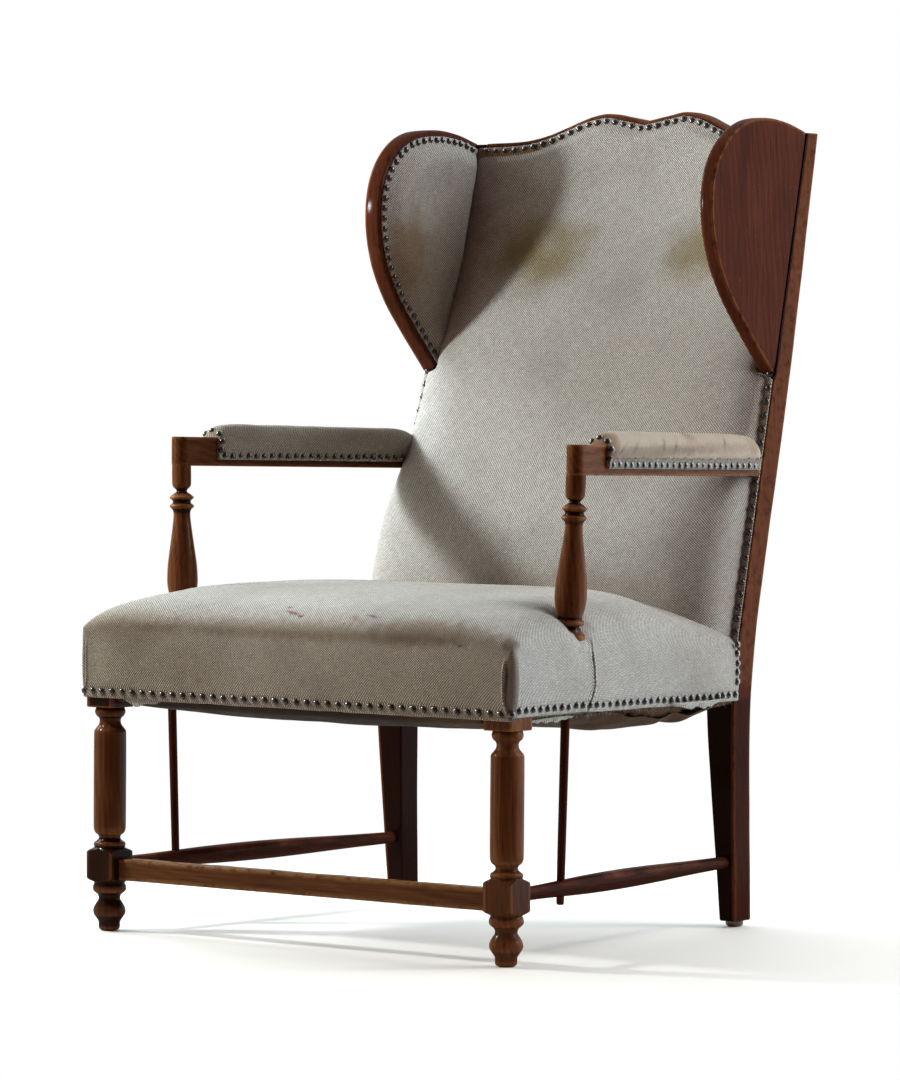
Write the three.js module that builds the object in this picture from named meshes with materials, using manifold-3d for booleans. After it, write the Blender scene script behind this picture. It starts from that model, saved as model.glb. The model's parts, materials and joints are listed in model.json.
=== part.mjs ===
// Sagging old wing armchair: turned and sawn wood frame, sprung seat, padded back, wings and arms.
// Units are millimetres. +Z is up, the chair faces -Y, and +X is on the right of someone looking at its front.
// Each sub-part is built for the +X side and mirrored where the chair has a pair of them.
import * as THREE from 'three';
import { mergeVertices } from 'three/addons/utils/BufferGeometryUtils.js';
import Module from 'manifold-3d';

const wasm = await Module();
wasm.setup();

// ---- driving dimensions -------------------------------------------------------------------
const GAP = 0.4; // clearance between pieces that touch on the real chair

const LEG_X = 330; // front leg axis, from the middle of the chair
const LEG_Y = -300;
const LOWER_BLOCK = 22.2; // half the width of the square blocks on the front legs
const UPPER_BLOCK = 22.5;
const BLOCK_TOP = 372;

// Rear post stations: height, front face, depth front to back, outer face, inner face.
const GLIDE_HEIGHT = 8;
const POST = [
  [GLIDE_HEIGHT, 271, 35, 297, 271],
  [150, 260, 36, 301, 266],
  [300, 251, 37, 306, 260],
  [370, 254, 36, 309.5, 264],
  [446, 267, 34, 311.5, 268],
  [750, 353.4, 35, 299.5, 259.5],
  [1083, 441.2, 25, 290.7, 256],
  [1120, 451, 24, 289.7, 255.5], // past the post's end, for the crest rail beside it
];
const POST_TOP = 1083;

const RAIL_BOTTOM = 317;
const RAIL_TOP = 372;
const RAIL_THICK = 26;

const SEAT_FRONT = -328; // outer face of the fabric
const SEAT_REAR = 249;
const SEAT_HALF_FRONT = 359.4;
const SEAT_HALF_REAR = 314.5;
const SEAT_FABRIC_BOTTOM = 315;
const FABRIC = 2.4;

const ARM_Y = -154; // arm post axis under the arm
const ARM_X = 329.3;
const ARM_BOTTOM = 621.5;
const ARM_BACK_X = 291;
const ARM_BACK_Y = 313;
const ARM_FALL = 9; // how far the arm drops from front to back
const ARM_HALF = 13;
const ARM_FRONT_BLOCK = 39.5; // height of the block ahead of the pad
const ARM_BAR = 18; // height of the bar under the pad
const ARM_BLOCK_END = -98;
const POST_FOOT_X = 322.4;
const POST_FOOT_Y = -157.8;

const STRETCHER_Z = 89;
const SPINDLE_TOP = [329.5, -173, 337];
const SPINDLE_BOTTOM = [321.2, -171, 68];

const WING_THICK = 22;
const WING_TIP = 750;
const WING_RIM = 10; // bare wood left round the wing pad
const WING_PAD = 12;

const CREST_BOTTOM = 1036;
const CREST_THICK = 22;
const BACK_BOW = 26; // how far the middle of the crest rail sits behind its ends
const CREST_HALF = 255.2;
const BACK_BOTTOM = 398;

const WOOD = { color: 0x5c2e1b, roughness: 0.42, metalness: 0 };
const WORN_WOOD = { color: 0x6e4426, roughness: 0.55, metalness: 0 };
const COVER = { color: 0xa09888, roughness: 0.95, metalness: 0 };
const MUSLIN = { color: 0xb9ab9b, roughness: 0.9, metalness: 0 };
const STUFFING = { color: 0x7d6547, roughness: 1, metalness: 0 };
const JUTE = { color: 0x6b4f33, roughness: 1, metalness: 0 };
const STEEL = { color: 0x6d6a66, roughness: 0.5, metalness: 0.9 };

// ---- small tools --------------------------------------------------------------------------
const clamp01 = (t) => Math.min(1, Math.max(0, t));
const smooth = (t) => clamp01(t) ** 2 * (3 - 2 * clamp01(t));

// Value of a smooth curve through [position, value] pairs.
function curveAt(pairs, position) {
  const last = pairs.length - 1;
  const x = Math.min(pairs[last][0], Math.max(pairs[0][0], position));
  let i = 0;
  while (i < last - 1 && x > pairs[i + 1][0]) i += 1;
  const slope = (j) => {
    const a = pairs[Math.max(0, j - 1)];
    const b = pairs[Math.min(last, j + 1)];
    return (b[1] - a[1]) / (b[0] - a[0]);
  };
  const span = pairs[i + 1][0] - pairs[i][0];
  const t = (x - pairs[i][0]) / span;
  const h00 = 2 * t ** 3 - 3 * t ** 2 + 1;
  const h10 = t ** 3 - 2 * t ** 2 + t;
  return h00 * pairs[i][1] + h10 * span * slope(i) + (1 - h00) * pairs[i + 1][1]
    + (t ** 3 - t ** 2) * span * slope(i + 1);
}

function solidFrom(points, triangles) {
  const geometry = new THREE.BufferGeometry();
  geometry.setAttribute('position', new THREE.Float32BufferAttribute(points.flat(), 3));
  geometry.setIndex(triangles.flat());
  return toManifold(geometry);
}

function toManifold(source) {
  let geometry = source.clone();
  geometry.deleteAttribute('normal');
  geometry.deleteAttribute('uv');
  geometry = mergeVertices(geometry, 1e-4);
  const mesh = new wasm.Mesh({
    numProp: 3,
    vertProperties: new Float32Array(geometry.attributes.position.array),
    triVerts: new Uint32Array(geometry.index.array),
  });
  return new wasm.Manifold(mesh);
}

function toGeometry(solid) {
  const mesh = solid.getMesh();
  const geometry = new THREE.BufferGeometry();
  geometry.setAttribute('position', new THREE.BufferAttribute(mesh.vertProperties, 3));
  geometry.setIndex(new THREE.BufferAttribute(mesh.triVerts, 1));
  geometry.computeVertexNormals();
  return geometry;
}

// Closed body between two grids of points: top(u, v) and bottom(u, v), u and v running 0 to 1.
// The top is the side that u x v points out of.
function slab(columns, rows, top, bottom) {
  const points = [];
  const index = (side, i, j) => side * (columns + 1) * (rows + 1) + j * (columns + 1) + i;
  for (const face of [top, bottom]) {
    for (let j = 0; j <= rows; j += 1) {
      for (let i = 0; i <= columns; i += 1) points.push(face(i / columns, j / rows));
    }
  }
  const triangles = [];
  const quad = (a, b, c, d) => triangles.push([a, b, c], [a, c, d]);
  for (let j = 0; j < rows; j += 1) {
    for (let i = 0; i < columns; i += 1) {
      quad(index(0, i, j), index(0, i + 1, j), index(0, i + 1, j + 1), index(0, i, j + 1));
      quad(index(1, i, j), index(1, i, j + 1), index(1, i + 1, j + 1), index(1, i + 1, j));
    }
  }
  for (let i = 0; i < columns; i += 1) {
    quad(index(1, i, 0), index(1, i + 1, 0), index(0, i + 1, 0), index(0, i, 0));
    quad(index(0, i, rows), index(0, i + 1, rows), index(1, i + 1, rows), index(1, i, rows));
  }
  for (let j = 0; j < rows; j += 1) {
    quad(index(0, 0, j), index(0, 0, j + 1), index(1, 0, j + 1), index(1, 0, j));
    quad(index(1, columns, j), index(1, columns, j + 1), index(0, columns, j + 1), index(0, columns, j));
  }
  return solidFrom(points, triangles);
}

// Closed body through a list of closed rings, each with the same number of points.
function loft(rings) {
  const count = rings[0].length;
  const points = rings.flat();
  const triangles = [];
  for (let r = 0; r < rings.length - 1; r += 1) {
    for (let i = 0; i < count; i += 1) {
      const a = r * count + i;
      const b = r * count + ((i + 1) % count);
      triangles.push([a, b, b + count], [a, b + count, a + count]);
    }
  }
  const last = (rings.length - 1) * count;
  for (let i = 1; i < count - 1; i += 1) {
    triangles.push([0, i + 1, i], [last, last + i, last + i + 1]);
  }
  return solidFrom(points, triangles);
}

function box(x0, x1, y0, y1, z0, z1) {
  const geometry = new THREE.BoxGeometry(x1 - x0, y1 - y0, z1 - z0);
  geometry.translate((x0 + x1) / 2, (y0 + y1) / 2, (z0 + z1) / 2);
  return toManifold(geometry);
}

// Turned body from [radius, height] pairs about the Z axis.
function turned(profile, sides) {
  const points = profile.map(([radius, height]) => new THREE.Vector2(radius, height));
  const first = profile[0];
  const last = profile[profile.length - 1];
  if (first[0] > 0) points.unshift(new THREE.Vector2(0, first[1]));
  if (last[0] > 0) points.push(new THREE.Vector2(0, last[1]));
  const geometry = new THREE.LatheGeometry(points, sides);
  geometry.rotateX(Math.PI / 2);
  return toManifold(geometry);
}

// Turned body whose axis runs from one point towards another; heights are measured along it.
function turnedAlong(from, to, profile, sides) {
  const start = new THREE.Vector3(...from);
  const axis = new THREE.Vector3(...to).sub(start).normalize();
  const turn = new THREE.Quaternion().setFromUnitVectors(new THREE.Vector3(0, 0, 1), axis);
  const matrix = new THREE.Matrix4().compose(start, turn, new THREE.Vector3(1, 1, 1));
  return toManifold(toGeometry(turned(profile, sides)).applyMatrix4(matrix));
}

// Flat outline in the YZ plane, given thickness along +X.
function extrudedYZ(shape, thickness) {
  const geometry = new THREE.ExtrudeGeometry(shape, { depth: thickness, bevelEnabled: false });
  // Shape x becomes Y, shape y becomes Z and the depth becomes X.
  geometry.applyMatrix4(new THREE.Matrix4().set(0, 0, 1, 0, 1, 0, 0, 0, 0, 1, 0, 0, 0, 0, 0, 1));
  return toManifold(geometry);
}

function warped(solid, move) {
  const geometry = toGeometry(solid);
  const position = geometry.attributes.position;
  for (let i = 0; i < position.count; i += 1) {
    position.setXYZ(i, ...move(position.getX(i), position.getY(i), position.getZ(i)));
  }
  return toManifold(geometry);
}

// A cut can leave a loose sliver behind: keep the main body.
const largest = (solid) => solid.decompose().sort((a, b) => b.volume() - a.volume())[0];
const without = (solid, ...cutters) => cutters.reduce((left, cutter) => left.subtract(cutter), solid);

// ---- shapes that several sub-parts share --------------------------------------------------
const postColumn = (column) => (z) => curveAt(POST.map((station) => [station[0], station[column]]), z);
const postFront = postColumn(1);
const postDepth = postColumn(2);
const postOuter = postColumn(3);
const postInner = postColumn(4);

const seatHalf = (y) => SEAT_HALF_FRONT
  + ((SEAT_HALF_REAR - SEAT_HALF_FRONT) * (y - SEAT_FRONT)) / (SEAT_REAR - SEAT_FRONT);

const SEAT_CROWN = [[-328, 428], [-300, 443], [-250, 455], [-165, 466], [0, 468], [170, 460], [249, 452]];
const SEAT_EDGE = [[-328, 414], [-150, 418], [0, 412], [170, 397], [249, 391]];
const EDGE_ROLL = 12;

// Height of the seat fabric: a crown that falls to the sides, with a rolled edge.
function seatTop(x, y) {
  const across = clamp01(Math.abs(x) / seatHalf(y));
  const fullness = 8 - 5 * smooth(y / 170);
  const edge = curveAt(SEAT_EDGE, y);
  const crown = edge + (curveAt(SEAT_CROWN, y) - edge) * (1 - across ** fullness);
  const inward = Math.max(0, Math.min(seatHalf(y) - Math.abs(x), y - SEAT_FRONT, EDGE_ROLL));
  return crown - EDGE_ROLL + Math.sqrt(EDGE_ROLL ** 2 - (EDGE_ROLL - inward) ** 2);
}

// The springs, webbing and base cloth have sunk together by this much.
const SAG = 23;
function sag(x, y) {
  const across = 1 - (x / 335) ** 4;
  const along = 1 - ((y + 16) / 305) ** 4;
  return SAG * Math.max(0, across) * Math.max(0, along);
}

// Front plane of the back frame: the posts' front faces, bowed back towards the crest rail.
const backBow = (x) => BACK_BOW * Math.max(0, 1 - (x / 252) ** 2);
const backPlane = (x, z) => postFront(z) + backBow(x) * smooth((z - 800) / 260);

const CREST_TOP = [[0, 1106], [35, 1112.5], [67, 1117.5], [98, 1112], [130, 1099.5], [160, 1088], [195, 1080], [256, 1077]];
const crestTop = (x) => curveAt(CREST_TOP, Math.abs(x));

// How far the back pad stands in front of that plane, in the middle and towards its sides.
const BACK_LOFT = [[398, 84], [455, 94], [534, 96], [573, 85], [615, 68], [674, 46], [750, 32], [900, 22], [1030, 12], [1115, 6]];
const EDGE_LOFT = 9.6;
const BACK_REAR = 5.8; // rear face of the stuffing, in front of the straps and the hessian
function backPad(x, z, shrink) {
  const half = (z < WING_TIP ? postOuter(z) - 2 : 272) - shrink;
  const across = clamp01(Math.abs(x) / half);
  const roundness = 1 - across ** 6;
  const full = curveAt(BACK_LOFT, z) - EDGE_LOFT - shrink;
  return EDGE_LOFT - shrink + Math.max(0, full) * Math.cbrt(roundness);
}

// ---- wood frame ---------------------------------------------------------------------------
const LEG_PROFILE = [
  [10, 0], [13.2, 2], [14.3, 6], [14.6, 12.3], [17.5, 17], [20.8, 22], [21.8, 26.7], [20.8, 31.5],
  [17.5, 37.5], [14.8, 42], [14.5, 45.3], [16.2, 49], [21, 53], [22.4, 57], [21.8, 61], [20.4, 65],
  [20.4, 112], [21.3, 115], [20.6, 118.5], [17, 121], [14.8, 123.5], [14.4, 126], [15.6, 128.5],
  [19.2, 131.5], [21.2, 136], [21.6, 142], [21.6, 265], [21.1, 269], [18.6, 272.5], [15.2, 277],
  [14.2, 282.5], [15.4, 286], [18.6, 289], [20.5, 294], [19.6, 298.5], [18.5, 302],
];

function frontLeg() {
  const post = turned(LEG_PROFILE, 14);
  const lower = box(-LOWER_BLOCK, LOWER_BLOCK, -LOWER_BLOCK, LOWER_BLOCK, 64.9, 112.2);
  const shoulders = turned([[21, 64.9], [29.5, 69.5], [31.6, 73], [31.6, 104], [29.5, 107.6], [21, 112.2]], 16);
  const upper = box(-UPPER_BLOCK, UPPER_BLOCK, -UPPER_BLOCK, UPPER_BLOCK, 300.4, BLOCK_TOP);
  return post.add(lower.intersect(shoulders)).add(upper).translate([LEG_X, LEG_Y, 0]);
}

function rearPost() {
  const heights = [GLIDE_HEIGHT, 80, 150, 225, 300, 335, 370, 408, 446, 520, 600, 675, 750, 860, 970, POST_TOP];
  return loft(heights.map((z) => {
    const front = postFront(z);
    const back = front + postDepth(z);
    return [
      [postInner(z), front, z],
      [postOuter(z), front, z],
      [postOuter(z), back, z],
      [postInner(z), back, z],
    ];
  }));
}

function rearGlide() {
  const x = (postOuter(GLIDE_HEIGHT) + postInner(GLIDE_HEIGHT)) / 2;
  const y = postFront(GLIDE_HEIGHT) + postDepth(GLIDE_HEIGHT) / 2;
  const dome = turned([[8, 0], [11, 1.6], [12.2, 4.2], [12.4, GLIDE_HEIGHT - GAP]], 16);
  return dome.translate([x, y, 0]);
}

function frontStretcher() {
  const end = LEG_X - LOWER_BLOCK - GAP;
  return box(-end, end, -307, -284, 69, 98);
}

function sideStretcher() {
  const from = [LEG_X, LEG_Y + LOWER_BLOCK + 3 * GAP, STRETCHER_Z];
  const to = [284, 263.6, STRETCHER_Z];
  const length = new THREE.Vector3(...from).distanceTo(new THREE.Vector3(...to));
  const girth = [[0, 8.6], [0.12, 9.6], [0.3, 12.2], [0.46, 13.1], [0.62, 12.2], [0.82, 9.6], [1, 8]];
  const profile = girth.map(([part, radius]) => [radius, part * length]);
  const bore = turnedAlong(SPINDLE_BOTTOM, SPINDLE_TOP, [[5.9, -5], [5.9, 60]], 12);
  return without(turnedAlong(from, to, profile, 14), bore);
}

function lowerSpindle() {
  const length = new THREE.Vector3(...SPINDLE_BOTTOM).distanceTo(new THREE.Vector3(...SPINDLE_TOP));
  return turnedAlong(SPINDLE_BOTTOM, SPINDLE_TOP, [[4.6, 0], [5.2, 1.5], [6, length]], 12);
}

// Heights on the arm post are measured up its leaning axis from the tenon's end.
const ARM_POST_FOOT = [POST_FOOT_X - 1.9, POST_FOOT_Y - 1, 352];
const ARM_POST_TOP = [ARM_X, ARM_Y, ARM_BOTTOM];
const ARM_POST_PROFILE = [
  [9, 0], [9, 56], [20.5, 59], [21.4, 62], [17.5, 67.5], [13.2, 73.5], [13.2, 75.5], [18.4, 77.6], [19.2, 79.6],
  [18.2, 82], [15.6, 84.5], [16.2, 88], [18.8, 97], [20.6, 108], [20.9, 115], [20, 134], [17, 157],
  [13.6, 182], [11.8, 197], [11.5, 206], [13.2, 210.5], [16, 213.5], [16, 216.5], [12.6, 218.8],
  [12.6, 222.6], [16, 225.4], [16, 228], [11.5, 231.4], [7.4, 234], [7.2, 236.5], [9.6, 238.8],
  [12.2, 242], [13, 247], [13, 269.2], [8, 269.3], [8, 291],
];

const armPost = () => turnedAlong(ARM_POST_FOOT, ARM_POST_TOP, ARM_POST_PROFILE, 12);
const armPostSocket = (radius, z0, z1) => turnedAlong(ARM_POST_FOOT, ARM_POST_TOP, [[radius, z0], [radius, z1]], 12);

const armPart = (y) => (y - ARM_Y) / (ARM_BACK_Y - ARM_Y);
const armMiddle = (y) => ARM_X + (ARM_BACK_X - ARM_X) * armPart(y);
const armUnder = (y) => ARM_BOTTOM - ARM_FALL * armPart(y);

// Arm wood: a tall block with a round nose in front and a low bar under the pad.
function armRail() {
  const plan = new THREE.Shape();
  plan.absarc(0, 0, ARM_HALF, Math.PI, 2 * Math.PI, false);
  plan.lineTo(ARM_HALF, ARM_BACK_Y - ARM_Y + 20);
  plan.lineTo(-ARM_HALF, ARM_BACK_Y - ARM_Y + 20);
  const tall = toManifold(new THREE.ExtrudeGeometry(plan, {
    depth: ARM_FRONT_BLOCK, bevelEnabled: false, curveSegments: 12,
  }));
  const step = box(-40, 40, ARM_BLOCK_END - ARM_Y, 600, ARM_BAR, 60);
  const placed = warped(without(tall, step), (x, y, z) => [
    armMiddle(y + ARM_Y) + x,
    y + ARM_Y,
    armUnder(y + ARM_Y) + z,
  ]);
  const behind = box(200, 400, 0, 200, 0, 200).translate([0, postFront(ARM_BOTTOM - ARM_FALL), ARM_BOTTOM - 60]);
  const lean = warped(behind, (x, y, z) => [x, y + (z - ARM_BOTTOM + ARM_FALL) * 0.28 - GAP, z]);
  return without(placed, lean, armPostSocket(8 + GAP, 260, 291.6));
}

function wingShape(inset) {
  const edge = [
    [350, 751], [323, 777], [286, 815], [250, 856], [221, 905], [207, 962], [213, 1018],
    [240, 1060], [285, 1088], [340, 1096.5], [392, 1092], [437, 1081],
  ];
  const centre = new THREE.Vector2(315, 960);
  const points = edge.map(([y, z]) => {
    const point = new THREE.Vector2(y, z);
    return point.addScaledVector(point.clone().sub(centre).normalize(), -inset);
  });
  const curve = new THREE.SplineCurve(points).getPoints(18);
  const shape = new THREE.Shape();
  shape.moveTo(curve[0].x, curve[0].y);
  curve.slice(1).forEach((point) => shape.lineTo(point.x, point.y));
  for (const z of [1078, 960, 860, 753]) shape.lineTo(postFront(z) - 1 - inset * 0.1, z);
  return shape;
}

const alongWing = (solid, offset) => warped(solid, (x, y, z) => [postOuter(z) - offset + x, y, z]);
const wingBoard = () => alongWing(extrudedYZ(wingShape(0), WING_THICK), WING_THICK);

function crestRail() {
  const at = (side) => (u, v) => {
    const x = (2 * u - 1) * CREST_HALF;
    const z = CREST_BOTTOM + (crestTop(x) - CREST_BOTTOM) * v;
    return [x, postFront(z) + backBow(x) + GAP + side * CREST_THICK, z];
  };
  return slab(20, 1, at(0), at(1));
}

function seatRailFront() {
  const end = LEG_X - UPPER_BLOCK - GAP;
  return box(-end, end, LEG_Y - UPPER_BLOCK, LEG_Y - UPPER_BLOCK + RAIL_THICK, RAIL_BOTTOM, RAIL_TOP);
}

const seatRailBack = () => box(-258.5, 258.5, 262, 288, RAIL_BOTTOM, RAIL_TOP);

function seatRailSide() {
  const front = LEG_Y + UPPER_BLOCK + GAP;
  const rear = 250.5;
  const ring = (y) => {
    const outer = seatHalf(y) - 3.8;
    return [
      [outer - RAIL_THICK, y, RAIL_BOTTOM],
      [outer, y, RAIL_BOTTOM],
      [outer, y, RAIL_TOP],
      [outer - RAIL_THICK, y, RAIL_TOP],
    ];
  };
  const rail = loft([ring(rear), ring(front)]);
  const spindleSocket = turnedAlong(SPINDLE_BOTTOM, SPINDLE_TOP, [[6 + GAP, 200], [6 + GAP, 270]], 12);
  return without(rail, armPostSocket(9 + GAP, -1, 60), spindleSocket);
}

function backRail() {
  const ring = (z) => {
    const half = postInner(z) - 1;
    const front = postFront(z) + 4;
    return [[-half, front, z], [half, front, z], [half, front + 22, z], [-half, front + 22, z]];
  };
  return loft([ring(470), ring(512)]);
}

// ---- upholstery inside --------------------------------------------------------------------
const STRAP = 50;
const STRAP_THICK = 1.2;
const STRAP_X = [-195, -65, 65, 195];
const STRAP_Y = [-235, -60, 125];
const LAYER = 3; // drop from the straps across to the straps along, and again to the base cloth

// A sagging sheet under the seat, its top face hung from the height given.
function underSheet(x, y, columns, rows, top, thick) {
  const point = (drop) => (u, v) => {
    const py = y(v);
    const px = x(u, py);
    return [px, py, top - drop - sag(px, py)];
  };
  return slab(columns, rows, point(0), point(thick));
}

function seatStrapAcross(middle) {
  const y = (v) => middle + STRAP * (v - 0.5);
  const x = (u, py) => (2 * u - 1) * (seatHalf(py) - 8);
  return underSheet(x, y, 12, 1, RAIL_BOTTOM - GAP, STRAP_THICK);
}

function seatStrapAlong(middle) {
  const y = (v) => -320 + 600 * v;
  const x = (u) => middle + STRAP * (u - 0.5);
  return underSheet(x, y, 1, 12, RAIL_BOTTOM - GAP - LAYER, STRAP_THICK);
}

class SpringCurve extends THREE.Curve {
  constructor(x, y, bottom, top) {
    super();
    Object.assign(this, { x, y, bottom, top });
  }

  getPoint(t, target = new THREE.Vector3()) {
    const angle = t * 4 * 2 * Math.PI;
    const radius = 30 + 12 * Math.abs(2 * t - 1);
    const height = this.bottom + (this.top - this.bottom) * t;
    return target.set(this.x + radius * Math.cos(angle), this.y + radius * Math.sin(angle), height);
  }
}

function seatSpring(x, y) {
  const wire = 2;
  const bottom = RAIL_BOTTOM - sag(x, y) + wire + 4;
  const path = new SpringCurve(x, y, bottom, RAIL_TOP - wire - GAP);
  const shape = new THREE.Shape();
  for (let i = 0; i < 4; i += 1) {
    const angle = (i * Math.PI) / 2;
    shape[i ? 'lineTo' : 'moveTo'](wire * Math.cos(angle), wire * Math.sin(angle));
  }
  return toManifold(new THREE.ExtrudeGeometry(shape, { steps: 32, extrudePath: path, bevelEnabled: false }));
}

const HESSIAN_Z = RAIL_TOP + GAP;
function springHessian() {
  const sheet = (z) => (u, v) => {
    const y = -318 + (244 + 318) * v;
    return [(2 * u - 1) * (seatHalf(y) - 6), y, z];
  };
  return without(slab(2, 2, sheet(HESSIAN_Z + 1.2), sheet(HESSIAN_Z)), armPostHole(), mirrored(armPostHole()));
}

// Grid over the seat, finer towards its rolled edges.
const toEdges = (t) => 0.5 - 0.5 * Math.cos(Math.PI * t);
function seatSolid(shrink, bottom, flush) {
  const place = (u, v) => {
    const y = SEAT_FRONT + shrink + (SEAT_REAR - SEAT_FRONT - (flush ? 0 : shrink)) * toEdges(v);
    const x = (2 * toEdges(u) - 1) * (seatHalf(y) - shrink);
    return [x, y];
  };
  const top = (u, v) => {
    const [x, y] = place(u, v);
    const scale = seatHalf(y) / (seatHalf(y) - shrink);
    return [x, y, Math.max(seatTop(x * scale, y - shrink) - shrink, bottom + 1)];
  };
  return slab(14, 12, top, (u, v) => [...place(u, v), bottom]);
}

const armPostHole = () => armPostSocket(22.2, -40, 130);
const bothSides = (solid) => solid.add(mirrored(solid));

const seatStuffing = () => without(seatSolid(FABRIC + GAP, HESSIAN_Z + 1.2 + GAP, false), bothSides(armPostHole()));
const seatCover = () => without(
  seatSolid(0, SEAT_FABRIC_BOTTOM, false),
  seatSolid(FABRIC, SEAT_FABRIC_BOTTOM - 20, true),
  bothSides(armPostHole()),
);

function baseCloth() {
  const y = (v) => -319 + (281 + 319) * v;
  const x = (u, py) => (2 * u - 1) * (seatHalf(py) - 6);
  const cloth = underSheet(x, y, 12, 12, RAIL_BOTTOM - GAP - 2 * LAYER, 1.2);
  const blocks = box(LEG_X - UPPER_BLOCK - 1, 400, -400, LEG_Y + UPPER_BLOCK + 1, 200, 400);
  const posts = box(postInner(315) - 2.5, 400, postFront(315) - 1.5, 400, 200, 400);
  const spindle = turnedAlong(SPINDLE_BOTTOM, SPINDLE_TOP, [[8, 150], [8, 268]], 12);
  return without(cloth, bothSides(blocks), bothSides(posts), bothSides(spindle));
}

// A layer that follows the back frame's front plane, from one offset in front of it to another.
function backLayer(halfWidth, z0, z1, near, far, columns, rows) {
  const face = (offset) => (u, v) => {
    const z = z0 + (z1 - z0) * v;
    const x = (2 * toEdges(u) - 1) * halfWidth;
    return [x, backPlane(x, z) - offset, z];
  };
  return slab(columns, rows, face(far), face(near));
}

const backStrap = (z) => backLayer(z < WING_TIP ? 292 : 262, z - STRAP / 2, z + STRAP / 2, GAP, GAP + 1.2, 12, 1);
const backHessian = () => backLayer(262, 462, 1068, 3.2, 4.4, 12, 12);

// The padded back, cut round the seat, the wings and the arms' ends.
function backSolid(shrink, rear) {
  const top = (x) => crestTop(x) - 6 - shrink;
  const place = (u, v) => {
    const along = toEdges(u);
    const z = BACK_BOTTOM + (1040 - BACK_BOTTOM) * Math.min(1, v / 0.9);
    const half = postOuter(z) - 1.5 - shrink;
    const x = (2 * along - 1) * half;
    const rise = v > 0.9 ? ((v - 0.9) / 0.1) * (top(x) - 1040) : 0;
    return [x, z + rise];
  };
  const front = (u, v) => {
    const [x, z] = place(u, v);
    return [x, backPlane(x, z) - Math.max(rear + 0.8, backPad(x, z, shrink)), z];
  };
  const back = (u, v) => {
    const [x, z] = place(u, v);
    return [x, backPlane(x, z) - rear, z];
  };
  return slab(16, 16, front, back);
}

function backClearance(margin) {
  const wing = (z) => {
    const face = postOuter(z) - WING_THICK - margin;
    return [[face, 100, z], [400, 100, z], [400, 600, z], [face, 600, z]];
  };
  const wings = loft([WING_TIP - 2, 860, 970, 1083, 1150].map(wing));
  const arms = box(264, 400, 100, 340, 603, 676);
  const seat = seatSolid(-margin, 300, false);
  return bothSides(wings).add(bothSides(arms)).add(seat);
}

const backStuffing = () => without(backSolid(FABRIC + 1.6, BACK_REAR), backClearance(4));
const backCover = () => {
  const skin = without(backSolid(0, BACK_REAR), backClearance(0.8));
  const inside = without(backSolid(FABRIC, 0), backClearance(0.8 + FABRIC));
  return without(skin, inside);
};

function outsideBackCover() {
  const face = (offset) => (u, v) => {
    const z = 330 + (1068 - 330) * v;
    const x = (2 * u - 1) * (postOuter(z) - 4);
    return [x, backPlane(x, z) + postDepth(z) + offset, z];
  };
  return slab(8, 10, face(GAP + 0.2), face(GAP + 1.8));
}

// ---- arm pads and wing pads ---------------------------------------------------------------
const PAD_LIFT = 5.2; // bare wood below the pad's edge
const PAD_SECTION = [
  [15.6, 0], [16.4, 8], [19.4, 19], [19.4, 30], [15.5, 42], [8, 49.5], [0, 51.5],
  [-8, 49.5], [-15.5, 42], [-19.4, 30], [-19.4, 19], [-16.4, 8], [-15.6, 0],
];

function armPadSolid(shrink, bottom) {
  const front = ARM_BLOCK_END + GAP + 0.6 + shrink;
  const rear = 306 - shrink;
  const stations = [[0, 0.8], [0.015, 0.93], [0.05, 1], [0.5, 1], [0.9, 0.99], [0.97, 0.9], [1, 0.7]];
  return loft(stations.map(([part, scale]) => {
    const y = front + (rear - front) * part;
    return PAD_SECTION.map(([x, z]) => {
      const tall = z > 20 ? 20 + (z - 20) * scale - shrink : z;
      const wide = (x * (z > 10 ? scale : 1)) - Math.sign(x) * shrink;
      return [armMiddle(y) + wide, y, armUnder(y) + PAD_LIFT + Math.max(tall, bottom)];
    });
  }).reverse());
}

// Block that follows the arm, from its underside up to the height given above the pad's edge.
function alongArm(halfWidth, y0, y1, top) {
  return warped(box(-halfWidth, halfWidth, y0, y1, -60, top), (x, y, z) => [
    armMiddle(y) + x,
    y,
    armUnder(y) + PAD_LIFT + z,
  ]);
}

const armStuffing = () => without(
  armPadSolid(FABRIC + GAP, 0),
  alongArm(60, -200, 400, ARM_BAR - PAD_LIFT + GAP),
);
const armCover = () => without(
  armPadSolid(0, 0),
  armPadSolid(FABRIC, -1),
  alongArm(ARM_HALF + 0.5, -200, 400, ARM_BAR - PAD_LIFT + GAP),
);

// Pad on the inner face of a wing board: straight sides, then a rounded edge.
function wingPadSolid(shrink, start, depth) {
  const steps = [[start, 0], [depth - 6, 0], [depth - 2, 2.5], [depth, 7]];
  const ring = ([deep, inset]) => wingShape(WING_RIM + shrink + inset).getPoints().map((point) => [
    postOuter(point.y) - WING_THICK - GAP - deep,
    point.x,
    point.y,
  ]);
  return loft(steps.map(ring));
}

const wingStuffing = () => largest(without(
  wingPadSolid(FABRIC + 1.6, 0, WING_PAD - FABRIC - 1),
  backSolid(-4, -60),
));
const wingCover = () => largest(without(
  wingPadSolid(0, 0, WING_PAD),
  wingPadSolid(FABRIC, -2, WING_PAD - FABRIC),
  backSolid(-1, -60),
));

// ---- assembly -----------------------------------------------------------------------------
const group = new THREE.Group();
group.name = 'wing_armchair';

function mirrored(solid) {
  return solid.mirror([1, 0, 0]);
}

function addPart(name, solid, finish) {
  const mesh = new THREE.Mesh(toGeometry(solid), new THREE.MeshStandardMaterial(finish));
  mesh.name = name;
  group.add(mesh);
}

function addPair(name, solid, finish) {
  addPart(`${name}_right`, solid, finish);
  addPart(`${name}_left`, mirrored(solid), finish);
}

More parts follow.
